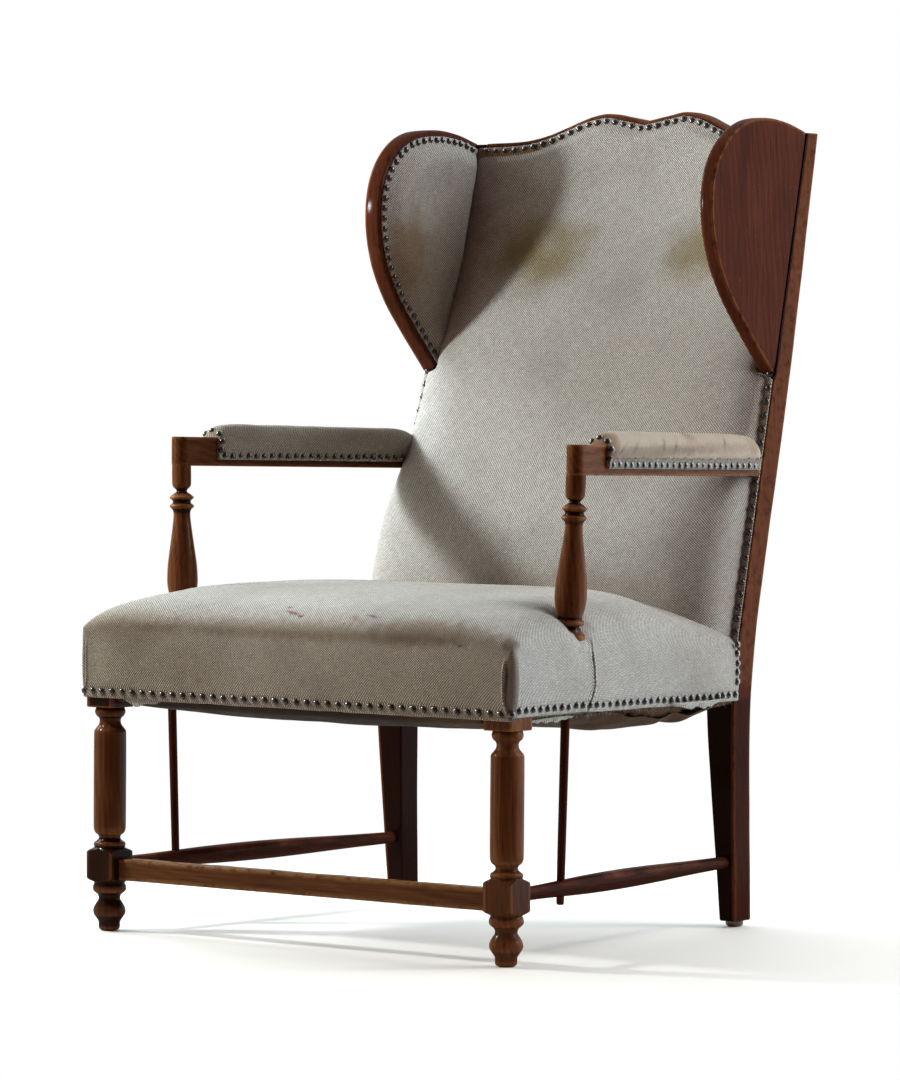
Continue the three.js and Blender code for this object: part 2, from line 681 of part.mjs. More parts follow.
addPair('front_leg', frontLeg(), WOOD);
addPair('rear_post', rearPost(), WOOD);
addPair('rear_glide', rearGlide(), STEEL);
addPart('front_stretcher', frontStretcher(), WORN_WOOD);
addPair('side_stretcher', sideStretcher(), WOOD);
addPair('lower_spindle', lowerSpindle(), WOOD);
addPair('arm_post', armPost(), WOOD);
addPair('arm_rail', armRail(), WOOD);
addPair('wing_board', wingBoard(), WOOD);
addPart('crest_rail', crestRail(), WOOD);
addPart('seat_rail_front', seatRailFront(), WOOD);
addPart('seat_rail_back', seatRailBack(), WOOD);
addPair('seat_rail', seatRailSide(), WOOD);
addPart('back_rail', backRail(), WOOD);

STRAP_Y.forEach((y, i) => addPart(`seat_strap_across_${i + 1}`, seatStrapAcross(y), JUTE));
STRAP_X.forEach((x, i) => addPart(`seat_strap_along_${i + 1}`, seatStrapAlong(x), JUTE));
[-110, 70].forEach((y, row) => {
  [-150, 0, 150].forEach((x, i) => addPart(`seat_spring_${row * 3 + i + 1}`, seatSpring(x, y), STEEL));
});
addPart('spring_hessian', springHessian(), JUTE);
addPart('seat_stuffing', seatStuffing(), STUFFING);
addPart('seat_cover', seatCover(), COVER);
addPart('base_cloth', baseCloth(), JUTE);

[540, 700, 850, 985].forEach((z, i) => addPart(`back_strap_${i + 1}`, backStrap(z), JUTE));
addPart('back_hessian', backHessian(), JUTE);
addPart('back_stuffing', backStuffing(), STUFFING);
addPart('back_cover', backCover(), COVER);
addPart('outside_back_cover', outsideBackCover(), COVER);

addPair('arm_stuffing', armStuffing(), STUFFING);
addPart('arm_cover_right', armCover(), MUSLIN);
addPart('arm_cover_left', mirrored(armCover()), COVER);
addPair('wing_stuffing', wingStuffing(), STUFFING);
addPair('wing_cover', wingCover(), COVER);

// The origin is the middle of the footprint, on the floor.
const bounds = new THREE.Box3().setFromObject(group);
group.children.forEach((mesh) => mesh.geometry.translate(0, -(bounds.min.y + bounds.max.y) / 2, 0));

export default group;
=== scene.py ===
"""Looks of a sagging old wing armchair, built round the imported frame.

Shapes are worked out in millimetres in the chair's own place, with the front legs' axes at y = -300, and
to_frame() puts them in the frame in metres. +Z is up, the chair faces -Y and "right" is +X.
A shape is a pair: its points and its faces. Sided pieces are shaped on the right and mirrored for the left.
"""
import json
import math

import bmesh
import bpy
import numpy as np
from mathutils import Matrix, Vector, noise

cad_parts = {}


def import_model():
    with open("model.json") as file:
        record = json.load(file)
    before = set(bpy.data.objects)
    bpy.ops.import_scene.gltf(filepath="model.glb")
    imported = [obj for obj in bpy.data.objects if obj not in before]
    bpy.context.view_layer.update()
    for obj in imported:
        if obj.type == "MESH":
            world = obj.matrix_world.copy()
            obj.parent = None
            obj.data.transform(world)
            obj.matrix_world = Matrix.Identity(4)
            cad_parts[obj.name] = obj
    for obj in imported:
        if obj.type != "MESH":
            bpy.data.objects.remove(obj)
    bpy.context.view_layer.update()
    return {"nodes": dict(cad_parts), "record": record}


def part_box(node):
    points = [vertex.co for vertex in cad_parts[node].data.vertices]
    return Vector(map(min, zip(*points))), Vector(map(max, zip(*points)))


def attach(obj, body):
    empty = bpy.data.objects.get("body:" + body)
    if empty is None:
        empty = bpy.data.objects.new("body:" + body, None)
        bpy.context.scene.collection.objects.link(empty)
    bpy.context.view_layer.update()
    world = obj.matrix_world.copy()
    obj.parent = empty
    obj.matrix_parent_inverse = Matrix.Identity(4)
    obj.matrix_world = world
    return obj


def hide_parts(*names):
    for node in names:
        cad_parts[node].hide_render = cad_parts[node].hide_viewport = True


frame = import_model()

MM = 0.001
LEG_Y = -300.0
LEG_LOW, LEG_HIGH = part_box("front_leg_right")
SHIFT_Y = (LEG_LOW.y + LEG_HIGH.y) / 2 - LEG_Y * MM
LEG_X = (LEG_LOW.x + LEG_HIGH.x) / 2 / MM
RANDOM = np.random.default_rng(7)
SIDES = ("right", "left")


# ---- small tools ----------------------------------------------------------------------------
def to_frame(points):
    moved = np.array(points, float) * MM
    moved[:, 1] += SHIFT_Y
    return moved


def smooth(t):
    """0 below 0, 1 above 1 and an S curve between."""
    t = np.clip(t, 0.0, 1.0)
    return t * t * (3 - 2 * t)


def bell(t):
    """1 at 0, falling to almost nothing at 2 on either side."""
    return np.exp(-np.square(t))


def stack(*columns):
    """Points from columns of coordinates. A single number fills its column."""
    return np.stack(np.broadcast_arrays(*columns), 1)


def curve_at(pairs, position):
    """Values of a smooth curve through (position, value) pairs."""
    table = np.asarray(pairs, float)
    knots, values = table[:, 0], table[:, 1]
    before = np.maximum(np.arange(len(knots)) - 1, 0)
    after = np.minimum(np.arange(len(knots)) + 1, len(knots) - 1)
    slopes = (values[after] - values[before]) / (knots[after] - knots[before])
    x = np.clip(np.asarray(position, float), knots[0], knots[-1])
    i = np.clip(np.searchsorted(knots, x, side="right") - 1, 0, len(knots) - 2)
    span = knots[i + 1] - knots[i]
    t = (x - knots[i]) / span
    share = 2 * t**3 - 3 * t**2 + 1
    bend = (t**3 - 2 * t**2 + t) * slopes[i] + (t**3 - t**2) * slopes[i + 1]
    return share * values[i] + (1 - share) * values[i + 1] + bend * span


def path_lengths(path):
    """How far along a path of points each of them is."""
    return np.concatenate([[0], np.cumsum(np.linalg.norm(np.diff(path, axis=0), axis=1))])


def along_curve(pairs, count):
    """Points at equal steps along a smooth curve through pairs, and their places along it."""
    pairs = np.array(pairs, float)
    length = path_lengths(pairs)
    at = np.linspace(0, length[-1], count)
    return curve_at(stack(length, pairs[:, 0]), at), curve_at(stack(length, pairs[:, 1]), at), at


def ripple(points, scale, seed=0.0):
    """Smooth noise from about -1 to 1 at each point, with bumps about scale millimetres apart."""
    at = np.asarray(points, float) / scale + seed * 17.31
    return np.array([noise.noise(Vector(p)) for p in at])


def wander(*place):
    """Smooth noise at one place."""
    return noise.noise(Vector(place))


def quads(rows, columns, closed):
    """Faces between the neighbours in a rows x columns array of points, whose rows may be closed rings."""
    faces = []
    for row in range(rows - 1):
        a, b = row * columns, (row + 1) * columns
        for i in range(columns if closed else columns - 1):
            j = (i + 1) % columns
            faces.append((a + i, a + j, b + j, b + i))
    return faces


def loft(rings, caps=(True, True)):
    """A skin through closed rings of equal length."""
    rings = np.asarray(rings, float)
    count, size = rings.shape[:2]
    faces = quads(count, size, True)
    if caps[0]:
        faces.append(tuple(range(size - 1, -1, -1)))
    if caps[1]:
        faces.append(tuple((count - 1) * size + i for i in range(size)))
    return rings.reshape(-1, 3), faces


def grid(rows):
    """An open sheet through rows of points."""
    rows = np.asarray(rows, float)
    return rows.reshape(-1, 3), quads(*rows.shape[:2], False)


def turned_over(faces):
    return [tuple(reversed(face)) for face in faces]


def join(shapes):
    points, faces, first = [], [], 0
    for some_points, some_faces in shapes:
        points.append(some_points)
        faces += [tuple(first + i for i in face) for face in some_faces]
        first += len(some_points)
    return np.concatenate(points), faces


def on_side(side, shape):
    """The shape itself on the right, mirrored for the left."""
    points, faces = shape
    if side == "right":
        return shape
    return points * (-1, 1, 1), turned_over(faces)


def place_on_side(side, place):
    return (place[0] if side == "right" else -place[0], place[1], place[2])


ATTRIBUTE_KINDS = {1: ("FLOAT", "value"), 3: ("FLOAT_VECTOR", "vector"), 4: ("FLOAT_COLOR", "color")}


def add_attribute(mesh, key, values):
    """One number, vector or colour for each point of a mesh."""
    values = np.asarray(values, float)
    kind, field = ATTRIBUTE_KINDS[1 if values.ndim == 1 else values.shape[1]]
    layer = mesh.attributes.new(key, kind, "POINT")
    layer.data.foreach_set(field, values.astype(np.float32).ravel())


def add_to_scene(name, data):
    item = bpy.data.objects.new(name, data)
    bpy.context.scene.collection.objects.link(item)
    return item


def make(name, shape, material, slot, nodes=(), angle=40, closed=True, thick=0.0, **attributes):
    """A piece of the object, riding on the root body. Attributes hold one value for each point."""
    points, faces = shape
    mesh = bpy.data.meshes.new(name)
    mesh.from_pydata(to_frame(points).tolist(), [], faces)
    for key, values in attributes.items():
        add_attribute(mesh, key, values)
    if closed:
        shell = bmesh.new()
        shell.from_mesh(mesh)
        bmesh.ops.recalc_face_normals(shell, faces=shell.faces)
        shell.to_mesh(mesh)
        shell.free()
    mesh.shade_smooth()
    mesh.set_sharp_from_angle(angle=math.radians(angle))
    piece = add_to_scene(name, mesh)
    mesh.materials.append(material)
    if thick:
        layer = piece.modifiers.new("cloth_thickness", "SOLIDIFY")
        layer.thickness = thick * MM
        layer.offset = -1.0
    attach(piece, "root")
    if nodes:
        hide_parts(*nodes)
    return piece


# ---- node materials -------------------------------------------------------------------------
class Nodes:
    """Short names for adding nodes to a tree."""

    def __init__(self, tree):
        self.tree = tree

    def put(self, kind, output=0, values=(), **settings):
        made = self.tree.nodes.new("ShaderNode" + kind)
        for key, value in settings.items():
            setattr(made, key, value)
        for socket, value in dict(values).items():
            if isinstance(value, bpy.types.NodeSocket):
                self.tree.links.new(value, made.inputs[socket])
            else:
                made.inputs[socket].default_value = value
        return made.outputs[output]

    def math(self, operation, a, b=0.0):
        return self.put("Math", values={0: a, 1: b}, operation=operation)

    def vector(self, operation, a, b, output=0):
        return self.put("VectorMath", output, {0: a, 1: b}, operation=operation)

    def length(self, vector):
        return self.vector("LENGTH", vector, (0, 0, 0), 1)

    def attribute(self, name, output="Vector"):
        return self.put("Attribute", output, attribute_name=name)

    def noise(self, vector, scale, detail=3.0, output=0):
        return self.put("TexNoise", output, {"Vector": vector, "Scale": scale, "Detail": detail})

    def streaks(self, vector, along, across, deep, detail):
        """Noise with its own fineness in each direction."""
        return self.noise(self.vector("MULTIPLY", vector, (along, across, deep)), 1.0, detail)

    def range(self, value, low, high, to_low=0.0, to_high=1.0):
        """Value carried smoothly from low..high to to_low..to_high."""
        spots = {0: value, 1: low, 2: high, 3: to_low, 4: to_high}
        return self.put("MapRange", values=spots, interpolation_type="SMOOTHSTEP")

    def mix(self, share, a, b, blend="MIX"):
        colours = {0: share}
        for socket, value in ((6, a), (7, b)):
            colours[socket] = (*value, 1.0) if isinstance(value, tuple) else value
        return self.put("Mix", 2, colours, data_type="RGBA", blend_type=blend)


class Surface(Nodes):
    """A node material while it is being put together."""

    def __init__(self, name):
        self.material = bpy.data.materials.new(name)
        self.material.use_nodes = True
        super().__init__(self.material.node_tree)
        self.shader = self.tree.nodes["Principled BSDF"]

    def finish(self, colour, roughness, height=None, distance=0.001, strength=1.0, **uniform):
        self.tree.links.new(colour, self.shader.inputs["Base Color"])
        if isinstance(roughness, bpy.types.NodeSocket):
            self.tree.links.new(roughness, self.shader.inputs["Roughness"])
        else:
            self.shader.inputs["Roughness"].default_value = roughness
        if height is not None:
            values = {"Height": height, "Distance": distance, "Strength": strength}
            self.tree.links.new(self.put("Bump", values=values), self.shader.inputs["Normal"])
        for socket, value in uniform.items():
            name = socket.replace("_", " ").title().replace("Ior", "IOR")
            self.shader.inputs[name].default_value = value
        return self.material


def darker(colour, share):
    return tuple(part * share for part in colour)


def wood(name, dark, middle, light, worn, coat=0.05):
    """Stained beech: fibres, growth rings and short rays, blotchy staining, rubbed edges, and darkening
    where wear is below zero: dirt in dark joints, and painted shade.
    """
    s = Surface(name)
    grain = s.attribute("grain")
    fibres = s.streaks(grain, 11.0, 620.0, 620.0, 4.0)
    pores = s.streaks(grain, 60.0, 1900.0, 1900.0, 2.0)
    blotch = s.streaks(grain, 7.0, 30.0, 30.0, 4.0)
    warped = s.vector("MULTIPLY", s.noise(grain, 6.0, 2.0, 1), (0.9, 0.9, 0.9))
    bent = s.vector("ADD", s.vector("MULTIPLY", grain, (5.5, 30.0, 30.0)), warped)
    rings = s.math("SINE", s.math("MULTIPLY", s.length(bent), 30.0))
    colour = s.mix(s.range(fibres, 0.22, 0.66, 0.25, 1.0), dark, middle)
    colour = s.mix(s.math("MULTIPLY", s.range(rings, -0.4, 1.0), 0.14), colour, light)
    colour = s.mix(s.range(blotch, 0.48, 0.74, 0.0, 0.50), colour, dark)
    colour = s.mix(s.range(blotch, 0.46, 0.28, 0.0, 0.30), colour, light)
    rays = s.streaks(grain, 170.0, 1300.0, 1300.0, 1.0)
    colour = s.mix(s.range(rays, 0.68, 0.78, 0.0, 0.30), colour, worn)
    wear = s.attribute("wear", "Fac")
    patchy = s.noise(grain, 85.0, 4.0)
    rubbed = s.math("MULTIPLY", s.range(wear, 0.12, 1.0, 0.0, 0.48), s.range(patchy, 0.26, 0.58))
    colour = s.mix(rubbed, colour, worn)
    # Below zero, wear darkens the wood: dirt in dark joints, and painted shade on low, inner and left-hand
    # pieces.
    dirt_and_shade = s.math("MULTIPLY", s.range(wear, -0.08, -0.70), 0.92)
    colour = s.mix(dirt_and_shade, colour, darker(dark, 0.22))
    dull = s.range(s.noise(grain, 38.0, 4.0), 0.35, 0.7, 0.34, 0.50)
    dull = s.math("ADD", dull, s.math("MULTIPLY", rubbed, 0.12))
    height = s.math("ADD", s.math("MULTIPLY", pores, 0.4), s.math("MULTIPLY", patchy, 0.5))
    return s.finish(colour, dull, height, 0.0003, 0.6, coat_weight=coat, coat_roughness=0.14,
                    specular_ior_level=0.0)


WEAVE = (0.0039, 0.0034)  # metres between rows of the basket weave, across and up the cloth


def weave(s, across_pitch, up_pitch):
    """Cloth coordinates with slightly wandering threads, and the height of the weave from 0 to 1."""
    cloth = s.attribute("cloth")
    drift = s.vector("SUBTRACT", s.noise(cloth, 60.0, 2.0, 1), (0.5, 0.5, 0.5))
    cloth = s.vector("ADD", cloth, s.vector("MULTIPLY", drift, (0.0014, 0.0014, 0.0)))
    turns = s.vector("MULTIPLY", cloth, (2 * math.pi / across_pitch, 2 * math.pi / up_pitch, 0.0))
    across = s.put("SeparateXYZ", 0, {0: turns})
    up = s.put("SeparateXYZ", 1, {0: turns})
    bump = s.math("MULTIPLY", s.math("SINE", across), s.math("SINE", up))
    return cloth, s.math("ADD", s.math("MULTIPLY", bump, 0.5), 0.5)


def cover_cloth(name, light, ground, marks=()):
    """Basket-woven cover: pale threads on a darker ground, flecks, fading, and the stains, painted shade
    and painted light put on it as tints.
    """
    s = Surface(name)
    cloth, height = weave(s, *WEAVE)
    colour = s.mix(s.range(height, 0.36, 0.80), ground, light)
    warp = s.streaks(cloth, 900.0, 70.0, 1.0, 2.0)
    weft = s.streaks(cloth, 70.0, 900.0, 1.0, 2.0)
    threads = s.math("MULTIPLY", s.math("ADD", warp, weft), 0.5)
    shade = s.range(threads, 0.36, 0.66, 0.75, 1.175)
    colour = s.mix(1.0, colour, s.put("CombineXYZ", 0, {0: shade, 1: shade, 2: shade}), "MULTIPLY")
    soil = s.noise(cloth, 9.0, 5.0)
    colour = s.mix(s.range(soil, 0.45, 0.75, 0.0, 0.25), colour, darker(ground, 0.75))
    slubs = s.streaks(cloth, 150.0, 620.0, 1.0, 1.0)
    colour = s.mix(s.range(slubs, 0.68, 0.75, 0.0, 0.4), colour, darker(ground, 0.6))
    hue = s.noise(cloth, 210.0, 2.0, 1)
    tints = s.vector("ADD", s.vector("MULTIPLY", hue, (0.16, 0.10, 0.16)), (0.92, 0.95, 0.92))
    colour = s.mix(1.0, colour, tints, "MULTIPLY")
    colour = s.mix(1.0, colour, s.attribute("stain", "Color"), "MULTIPLY")
    for mark in marks:
        colour = smear(s, cloth, colour, *mark)
    relief = s.math("ADD", height, s.math("MULTIPLY", threads, 0.7))
    return s.finish(colour, 0.93, relief, 0.0006, 0.85, sheen_weight=0.06, sheen_roughness=0.6)


def smear(s, cloth, colour, middle, size, turn, tint, strength):
    """One small ragged mark, placed in cloth coordinates."""
    local = s.vector("SUBTRACT", cloth, (middle[0], middle[1], 0.0))
    spots = {0: local, "Angle": math.radians(turn)}
    local = s.put("VectorRotate", 0, spots, rotation_type="Z_AXIS")
    local = s.vector("DIVIDE", local, (size[0] * MM, size[1] * MM, 1.0))
    ragged = s.math("MULTIPLY", s.noise(cloth, 330.0, 4.0), 1.5)
    reach = s.math("ADD", s.length(local), ragged)
    return s.mix(s.range(reach, 1.65, 0.75, 0.0, strength), colour, tint)


def plain_cloth(name, light, dark, pitch, sheen=0.1, blotch=0.5):
    """Thin plain-woven cloth, such as muslin, hessian or dust cloth."""
    s = Surface(name)
    cloth, height = weave(s, pitch, pitch)
    colour = s.mix(s.range(height, 0.2, 0.8), dark, light)
    patches = s.noise(cloth, 24.0, 5.0)
    colour = s.mix(s.range(patches, 0.42, 0.70, 0.0, blotch), colour, darker(dark, 0.45))
    threads = s.streaks(cloth, 60.0, 900.0, 1.0, 2.0)
    colour = s.mix(s.range(threads, 0.5, 0.75, 0.0, 0.35), colour, darker(dark, 0.7))
    colour = s.mix(1.0, colour, s.attribute("stain", "Color"), "MULTIPLY")
    relief = s.math("ADD", height, s.math("MULTIPLY", patches, 2.0))
    return s.finish(colour, 0.9, relief, 0.0006, 0.8, sheen_weight=sheen, sheen_roughness=0.5,
                    specular_ior_level=0.1)


def metal(name, colour, tarnish, roughness):
    s = Surface(name)
    patches = s.noise(s.put("TexCoord", "Object"), 420.0, 4.0)
    tone = s.mix(s.range(patches, 0.40, 0.64), colour, tarnish)
    dull = s.range(patches, 0.35, 0.70, roughness, roughness + 0.25)
    return s.finish(tone, dull, patches, 0.0002, 0.5, metallic=0.5, coat_weight=0.7, coat_roughness=0.14)


def fibre(name, light, dark):
    """Loose threads, wadding and stuffing."""
    s = Surface(name)
    place = s.put("TexCoord", "Object")
    tone = s.mix(s.range(s.noise(place, 260.0, 4.0), 0.35, 0.65), dark, light)
    return s.finish(tone, 0.95, s.noise(place, 700.0, 3.0), 0.0012, 1.0, sheen_weight=0.2)


CREAM = (0.65, 0.645, 0.62)
GROUND = (0.168, 0.153, 0.129)
RED_WOOD = wood("varnished_beech", (0.025, 0.0062, 0.0034), (0.063, 0.0155, 0.0075), (0.118, 0.035, 0.015),
                (0.26, 0.100, 0.036))
TURNED_WOOD = wood("turned_beech", (0.032, 0.0090, 0.0040), (0.112, 0.0370, 0.0135), (0.250, 0.098, 0.032),
                   (0.34, 0.140, 0.042), 0.12)
WORN_WOOD = wood("rubbed_beech", (0.040, 0.013, 0.006), (0.092, 0.036, 0.014), (0.15, 0.070, 0.027),
                 (0.30, 0.150, 0.060))
RAW_WOOD = wood("raw_beech", (0.10, 0.050, 0.024), (0.18, 0.10, 0.05), (0.24, 0.15, 0.08),
                (0.28, 0.18, 0.10), 0.0)
BACK_CLOTH = cover_cloth("cover_basket_weave", CREAM, GROUND)
MUSLIN = plain_cloth("bare_muslin", (0.51, 0.435, 0.355), (0.37, 0.31, 0.25), 0.0013, 0.1, 0.16)
DUST_CLOTH = plain_cloth("dust_cloth", (0.036, 0.019, 0.010), (0.016, 0.009, 0.005), 0.0016, 0.0)
HESSIAN = plain_cloth("hessian", (0.36, 0.26, 0.16), (0.16, 0.11, 0.065), 0.0030)
BRONZE = metal("antiqued_bronze", (0.062, 0.052, 0.046), (0.022, 0.018, 0.016), 0.20)
STEEL = metal("spring_steel", (0.30, 0.28, 0.25), (0.16, 0.10, 0.07), 0.40)
THREADS = fibre("cut_threads", (0.60, 0.57, 0.52), (0.36, 0.33, 0.29))
STUFFING = fibre("matted_stuffing", (0.30, 0.21, 0.13), (0.12, 0.08, 0.05))


# ---- wood frame -----------------------------------------------------------------------------
def make_wood(name, shape, wear, axis, seed, node, material=RED_WOOD, angle=40):
    """A wooden piece, with grain coordinates in metres: first along the fibres, then the two across."""
    order = {"x": (0, 1, 2), "y": (1, 0, 2), "z": (2, 0, 1)}[axis]
    grain = shape[0][:, order] * MM + np.array([3.7, 1.3, 0.9]) * seed
    make(name, shape, material, "frame_wood", [node], angle, grain=grain, wear=wear)


def make_sided_wood(name, side, shape, wear, axis, seed, node, material=RED_WOOD, angle=40):
    seed += side == "left"
    make_wood(f"{name}_{side}", shape, wear, axis, seed, f"{node}_{side}", material, angle)


def rounded_rectangle(x0, x1, y0, y1, radius, margin=4.0):
    """Anticlockwise points of a rectangle with rounded corners, and 1 where a point is on a corner."""
    points, edge = [], []
    margin = min(margin, (x1 - x0) / 2 - radius - 0.1, (y1 - y0) / 2 - radius - 0.1)
    corners = ((x1 - radius, y0 + radius, 270), (x1 - radius, y1 - radius, 0),
               (x0 + radius, y1 - radius, 90), (x0 + radius, y0 + radius, 180))
    for cx, cy, start in corners:
        first, last = math.radians(start), math.radians(start + 90)
        arc = [(cx + radius * math.cos(a), cy + radius * math.sin(a)) for a in np.linspace(first, last, 4)]
        before = (arc[0][0] + margin * math.sin(first), arc[0][1] - margin * math.cos(first))
        after = (arc[-1][0] - margin * math.sin(last), arc[-1][1] + margin * math.cos(last))
        points += [before, *arc, after]
        edge += [0.0, 0.75, 1.0, 1.0, 0.75, 0.0]
    return np.array(points), np.array(edge)


REAR_POST = frame["nodes"]["rear_post_right"]
POST_EXTRA_DEPTH = 3.5
POST_SHADED_BELOW, POST_RUBBED_ABOVE = 320, 330
IN_JOINT = -1.0  # wear at a dark joint; it runs from here (dirt, and painted shade) to 1 (rubbed bare)


def post_stations():
    """Heights of the rear post's rings with their front, back, inner and outer faces, in millimetres."""
    points = np.array([v.co for v in REAR_POST.data.vertices]) / MM
    points[:, 1] -= SHIFT_Y / MM
    stations = []
    for z in np.unique(np.round(points[:, 2], 1)):
        x, y, _ = points[np.abs(points[:, 2] - z) < 0.1].T
        stations.append((z, y.min(), y.max() + POST_EXTRA_DEPTH, x.min(), x.max()))
    return np.array(stations)


STATIONS = post_stations()
POST_FOOT, POST_TOP = STATIONS[0, 0], STATIONS[-1, 0]
STATIONS = np.vstack([STATIONS, STATIONS[-1] + 0.12 * (STATIONS[-1] - STATIONS[-3])])


def post_column(column):
    return lambda z: curve_at(STATIONS[:, (0, column)], z)


post_front, post_back, post_inner, post_outer = (post_column(c) for c in (1, 2, 3, 4))


def rear_post(side):
    round_end = 1.6
    top = POST_TOP if side == "right" else POST_TOP - 7
    foot_rings = [POST_FOOT, POST_FOOT + 0.6, POST_FOOT + 2]
    top_rings = [top - 2, top - 0.6, top]
    rings, wear = [], []
    for z in np.concatenate([foot_rings, np.arange(POST_FOOT + 12, top - 6, 12), top_rings]):
        left_over = max(0.0, round_end - min(z - POST_FOOT, top - z))
        inset = round_end - math.sqrt(max(0.0, round_end**2 - left_over**2))
        flat, edge = rounded_rectangle(post_inner(z) + inset, post_outer(z) - inset, post_front(z) + inset,
                                       post_back(z) - inset, 2.0)
        rings.append(stack(*flat.T, z))
        wear.append(np.maximum(edge, 1.0 if left_over > 0 else 0.0))
    points, faces = loft(rings)
    x, y, z = points.T
    behind_wing = (z > WING_TIP) & (y < post_front(z) + 2.6)
    wear = np.where(behind_wing, IN_JOINT, np.concatenate(wear))
    # Painted shade: below POST_SHADED_BELOW the post is darkened, and its faces other than the outer one
    # more.
    shaded_low = z < POST_SHADED_BELOW
    wear = np.where(shaded_low & (post_outer(z) - x > 3), -0.80, wear - 0.42 * shaded_low)
    wear = np.where((z > POST_RUBBED_ABOVE) & (wear > -0.2), np.maximum(wear, 0.5), wear)
    points[:, :2] += 0.35 * ripple(points, 60, 1)[:, None]
    make_sided_wood("rear_post_board", side, on_side(side, (points, faces)), wear, "z", 1, "rear_post")


BLOCK = 22.2
BLOCK_LOW, BLOCK_HIGH = 64.5, 112
LEG_SIDES = 72
LEG_SHADED_BELOW, LEG_LEFT_SHADED_ABOVE = 125, 285
# Height and radius, from the floor up. Between BLOCK_LOW and BLOCK_HIGH the square block cuts it off.
LEG_PROFILE = [
    (0, 9.4), (0.5, 10), (2, 13.2), (6, 14.3), (12.3, 14.6), (17, 17.5), (22, 20.8), (26.7, 21.8),
    (31.5, 20.8), (37.5, 17.5), (42, 14.8), (45.3, 14.5), (49, 16.2), (53, 21), (57, 22.4), (61, 21.8),
    (64.5, 20.4), (66, 21.8), (69.5, 29.0), (73, 31.8), (104, 31.8), (107.6, 29.0), (111, 21.8),
    (112.6, 20.4), (115, 21.3), (118.5, 20.6), (121, 17), (123.5, 14.8), (126, 14.4), (128.5, 15.6),
    (131.5, 19.2), (136, 21.2), (142, 21.6), (205, 21.8), (265, 21.6), (269, 21.1), (272.5, 18.6),
    (277, 15.2), (282.5, 14.2), (286, 15.4), (289, 18.6), (294, 20.5), (298.5, 19.6), (300.3, 18.8),
]


def stepped(profile, step):
    """Positions along a profile, closer together where its points are."""
    positions = [profile[0][0]]
    for (a, _), (b, _) in zip(profile, profile[1:]):
        count = max(1, min(5, math.ceil((b - a) / step)))
        positions += [a + (b - a) * (k + 1) / count for k in range(count)]
    return np.array(positions)


def proud(positions, radii):
    """How far each turned ring stands out (above 0) or in (below 0) from its neighbourhood."""
    dense = np.arange(positions[0], positions[-1], 1.0)
    level = np.interp(dense, positions, radii)
    width = 11
    mean = np.convolve(np.pad(level, width // 2, mode="edge"), np.ones(width) / width, mode="valid")
    return np.clip((radii - np.interp(positions, dense, mean)) / 1.7, -1, 1)


def square_radius(angle, half, sharpness=26):
    """Distance to the side of a square with slightly rounded corners."""
    sum_of_powers = np.abs(np.cos(angle)) ** sharpness + np.abs(np.sin(angle)) ** sharpness
    return half / sum_of_powers ** (1 / sharpness)


def front_leg(side):
    angles = np.linspace(0, 2 * math.pi, LEG_SIDES, endpoint=False)
    heights = stepped(LEG_PROFILE, 1.3)
    radii = curve_at(LEG_PROFILE, heights)
    rings, wear = [], []
    for z, radius, out in zip(heights, radii, proud(heights, radii)):
        reach = np.full(LEG_SIDES, radius)
        rub = np.full(LEG_SIDES, out)
        if BLOCK_LOW < z < BLOCK_HIGH:
            square = square_radius(angles, BLOCK)
            rub = 0.35 * smooth((square - 27.0) / 3.0) * (radius > square)
            reach = np.minimum(reach, square)
        else:
            rub = np.maximum(rub, 0.0)
        rings.append(stack(reach * np.cos(angles), reach * np.sin(angles), z))
        wear.append(rub)
    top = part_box("front_leg_right")[1].z / MM
    for z, shrink in ((300.4, 1.0), (301.2, 0.2), (303, 0), (320, 0), (345, 0), (top - 0.5, 0), (top, 0.5)):
        reach = square_radius(angles, BLOCK + 0.3 - shrink, 40)
        rings.append(stack(reach * np.cos(angles), reach * np.sin(angles), z))
        wear.append(np.maximum(smooth((reach - 27.5) / 3.0), 0.8 if shrink else 0.0))
    points, faces = loft(rings)
    points[:, :2] *= 1 + 0.006 * ripple(points, 30, 4)[:, None]
    points += np.array([LEG_X, LEG_Y, 0])
    z = points[:, 2]
    # Painted shade: the leg is darker below LEG_SHADED_BELOW, and the left leg darker all over, most above
    # LEG_LEFT_SHADED_ABOVE.
    darkened = np.where(z < LEG_SHADED_BELOW, 0.42, 0.06)
    if side == "left":
        darkened += np.where(z > LEG_LEFT_SHADED_ABOVE, 0.60, 0.26)
    wear = np.concatenate(wear) - darkened
    shape = on_side(side, (points, faces))
    make_sided_wood("front_leg_turned", side, shape, wear, "z", 3, "front_leg", TURNED_WOOD, 34)


def circle_round(axis, other, sides):
    """Unit vectors once round an axis, starting from the one square to the other direction as well."""
    across = np.cross(axis, other)
    across /= np.linalg.norm(across)
    angles = np.linspace(0, 2 * math.pi, sides, endpoint=False)
    return np.cos(angles)[:, None] * across + np.sin(angles)[:, None] * np.cross(axis, across)


def turned(start, end, profile, sides=40, step=1.3):
    """A turned piece from start towards end, and how proud each of its points is."""
    start, end = np.array(start, float), np.array(end, float)
    axis = (end - start) / np.linalg.norm(end - start)
    circle = circle_round(axis, (0.0, 1.0, 0.0) if abs(axis[1]) < 0.9 else (0.0, 0.0, 1.0), sides)
    positions = stepped(profile, step)
    radii = np.maximum(curve_at(profile, positions), 0.3)
    rings = [start + axis * p + circle * r for p, r in zip(positions, radii)]
    return loft(rings), np.repeat(proud(positions, radii), sides)


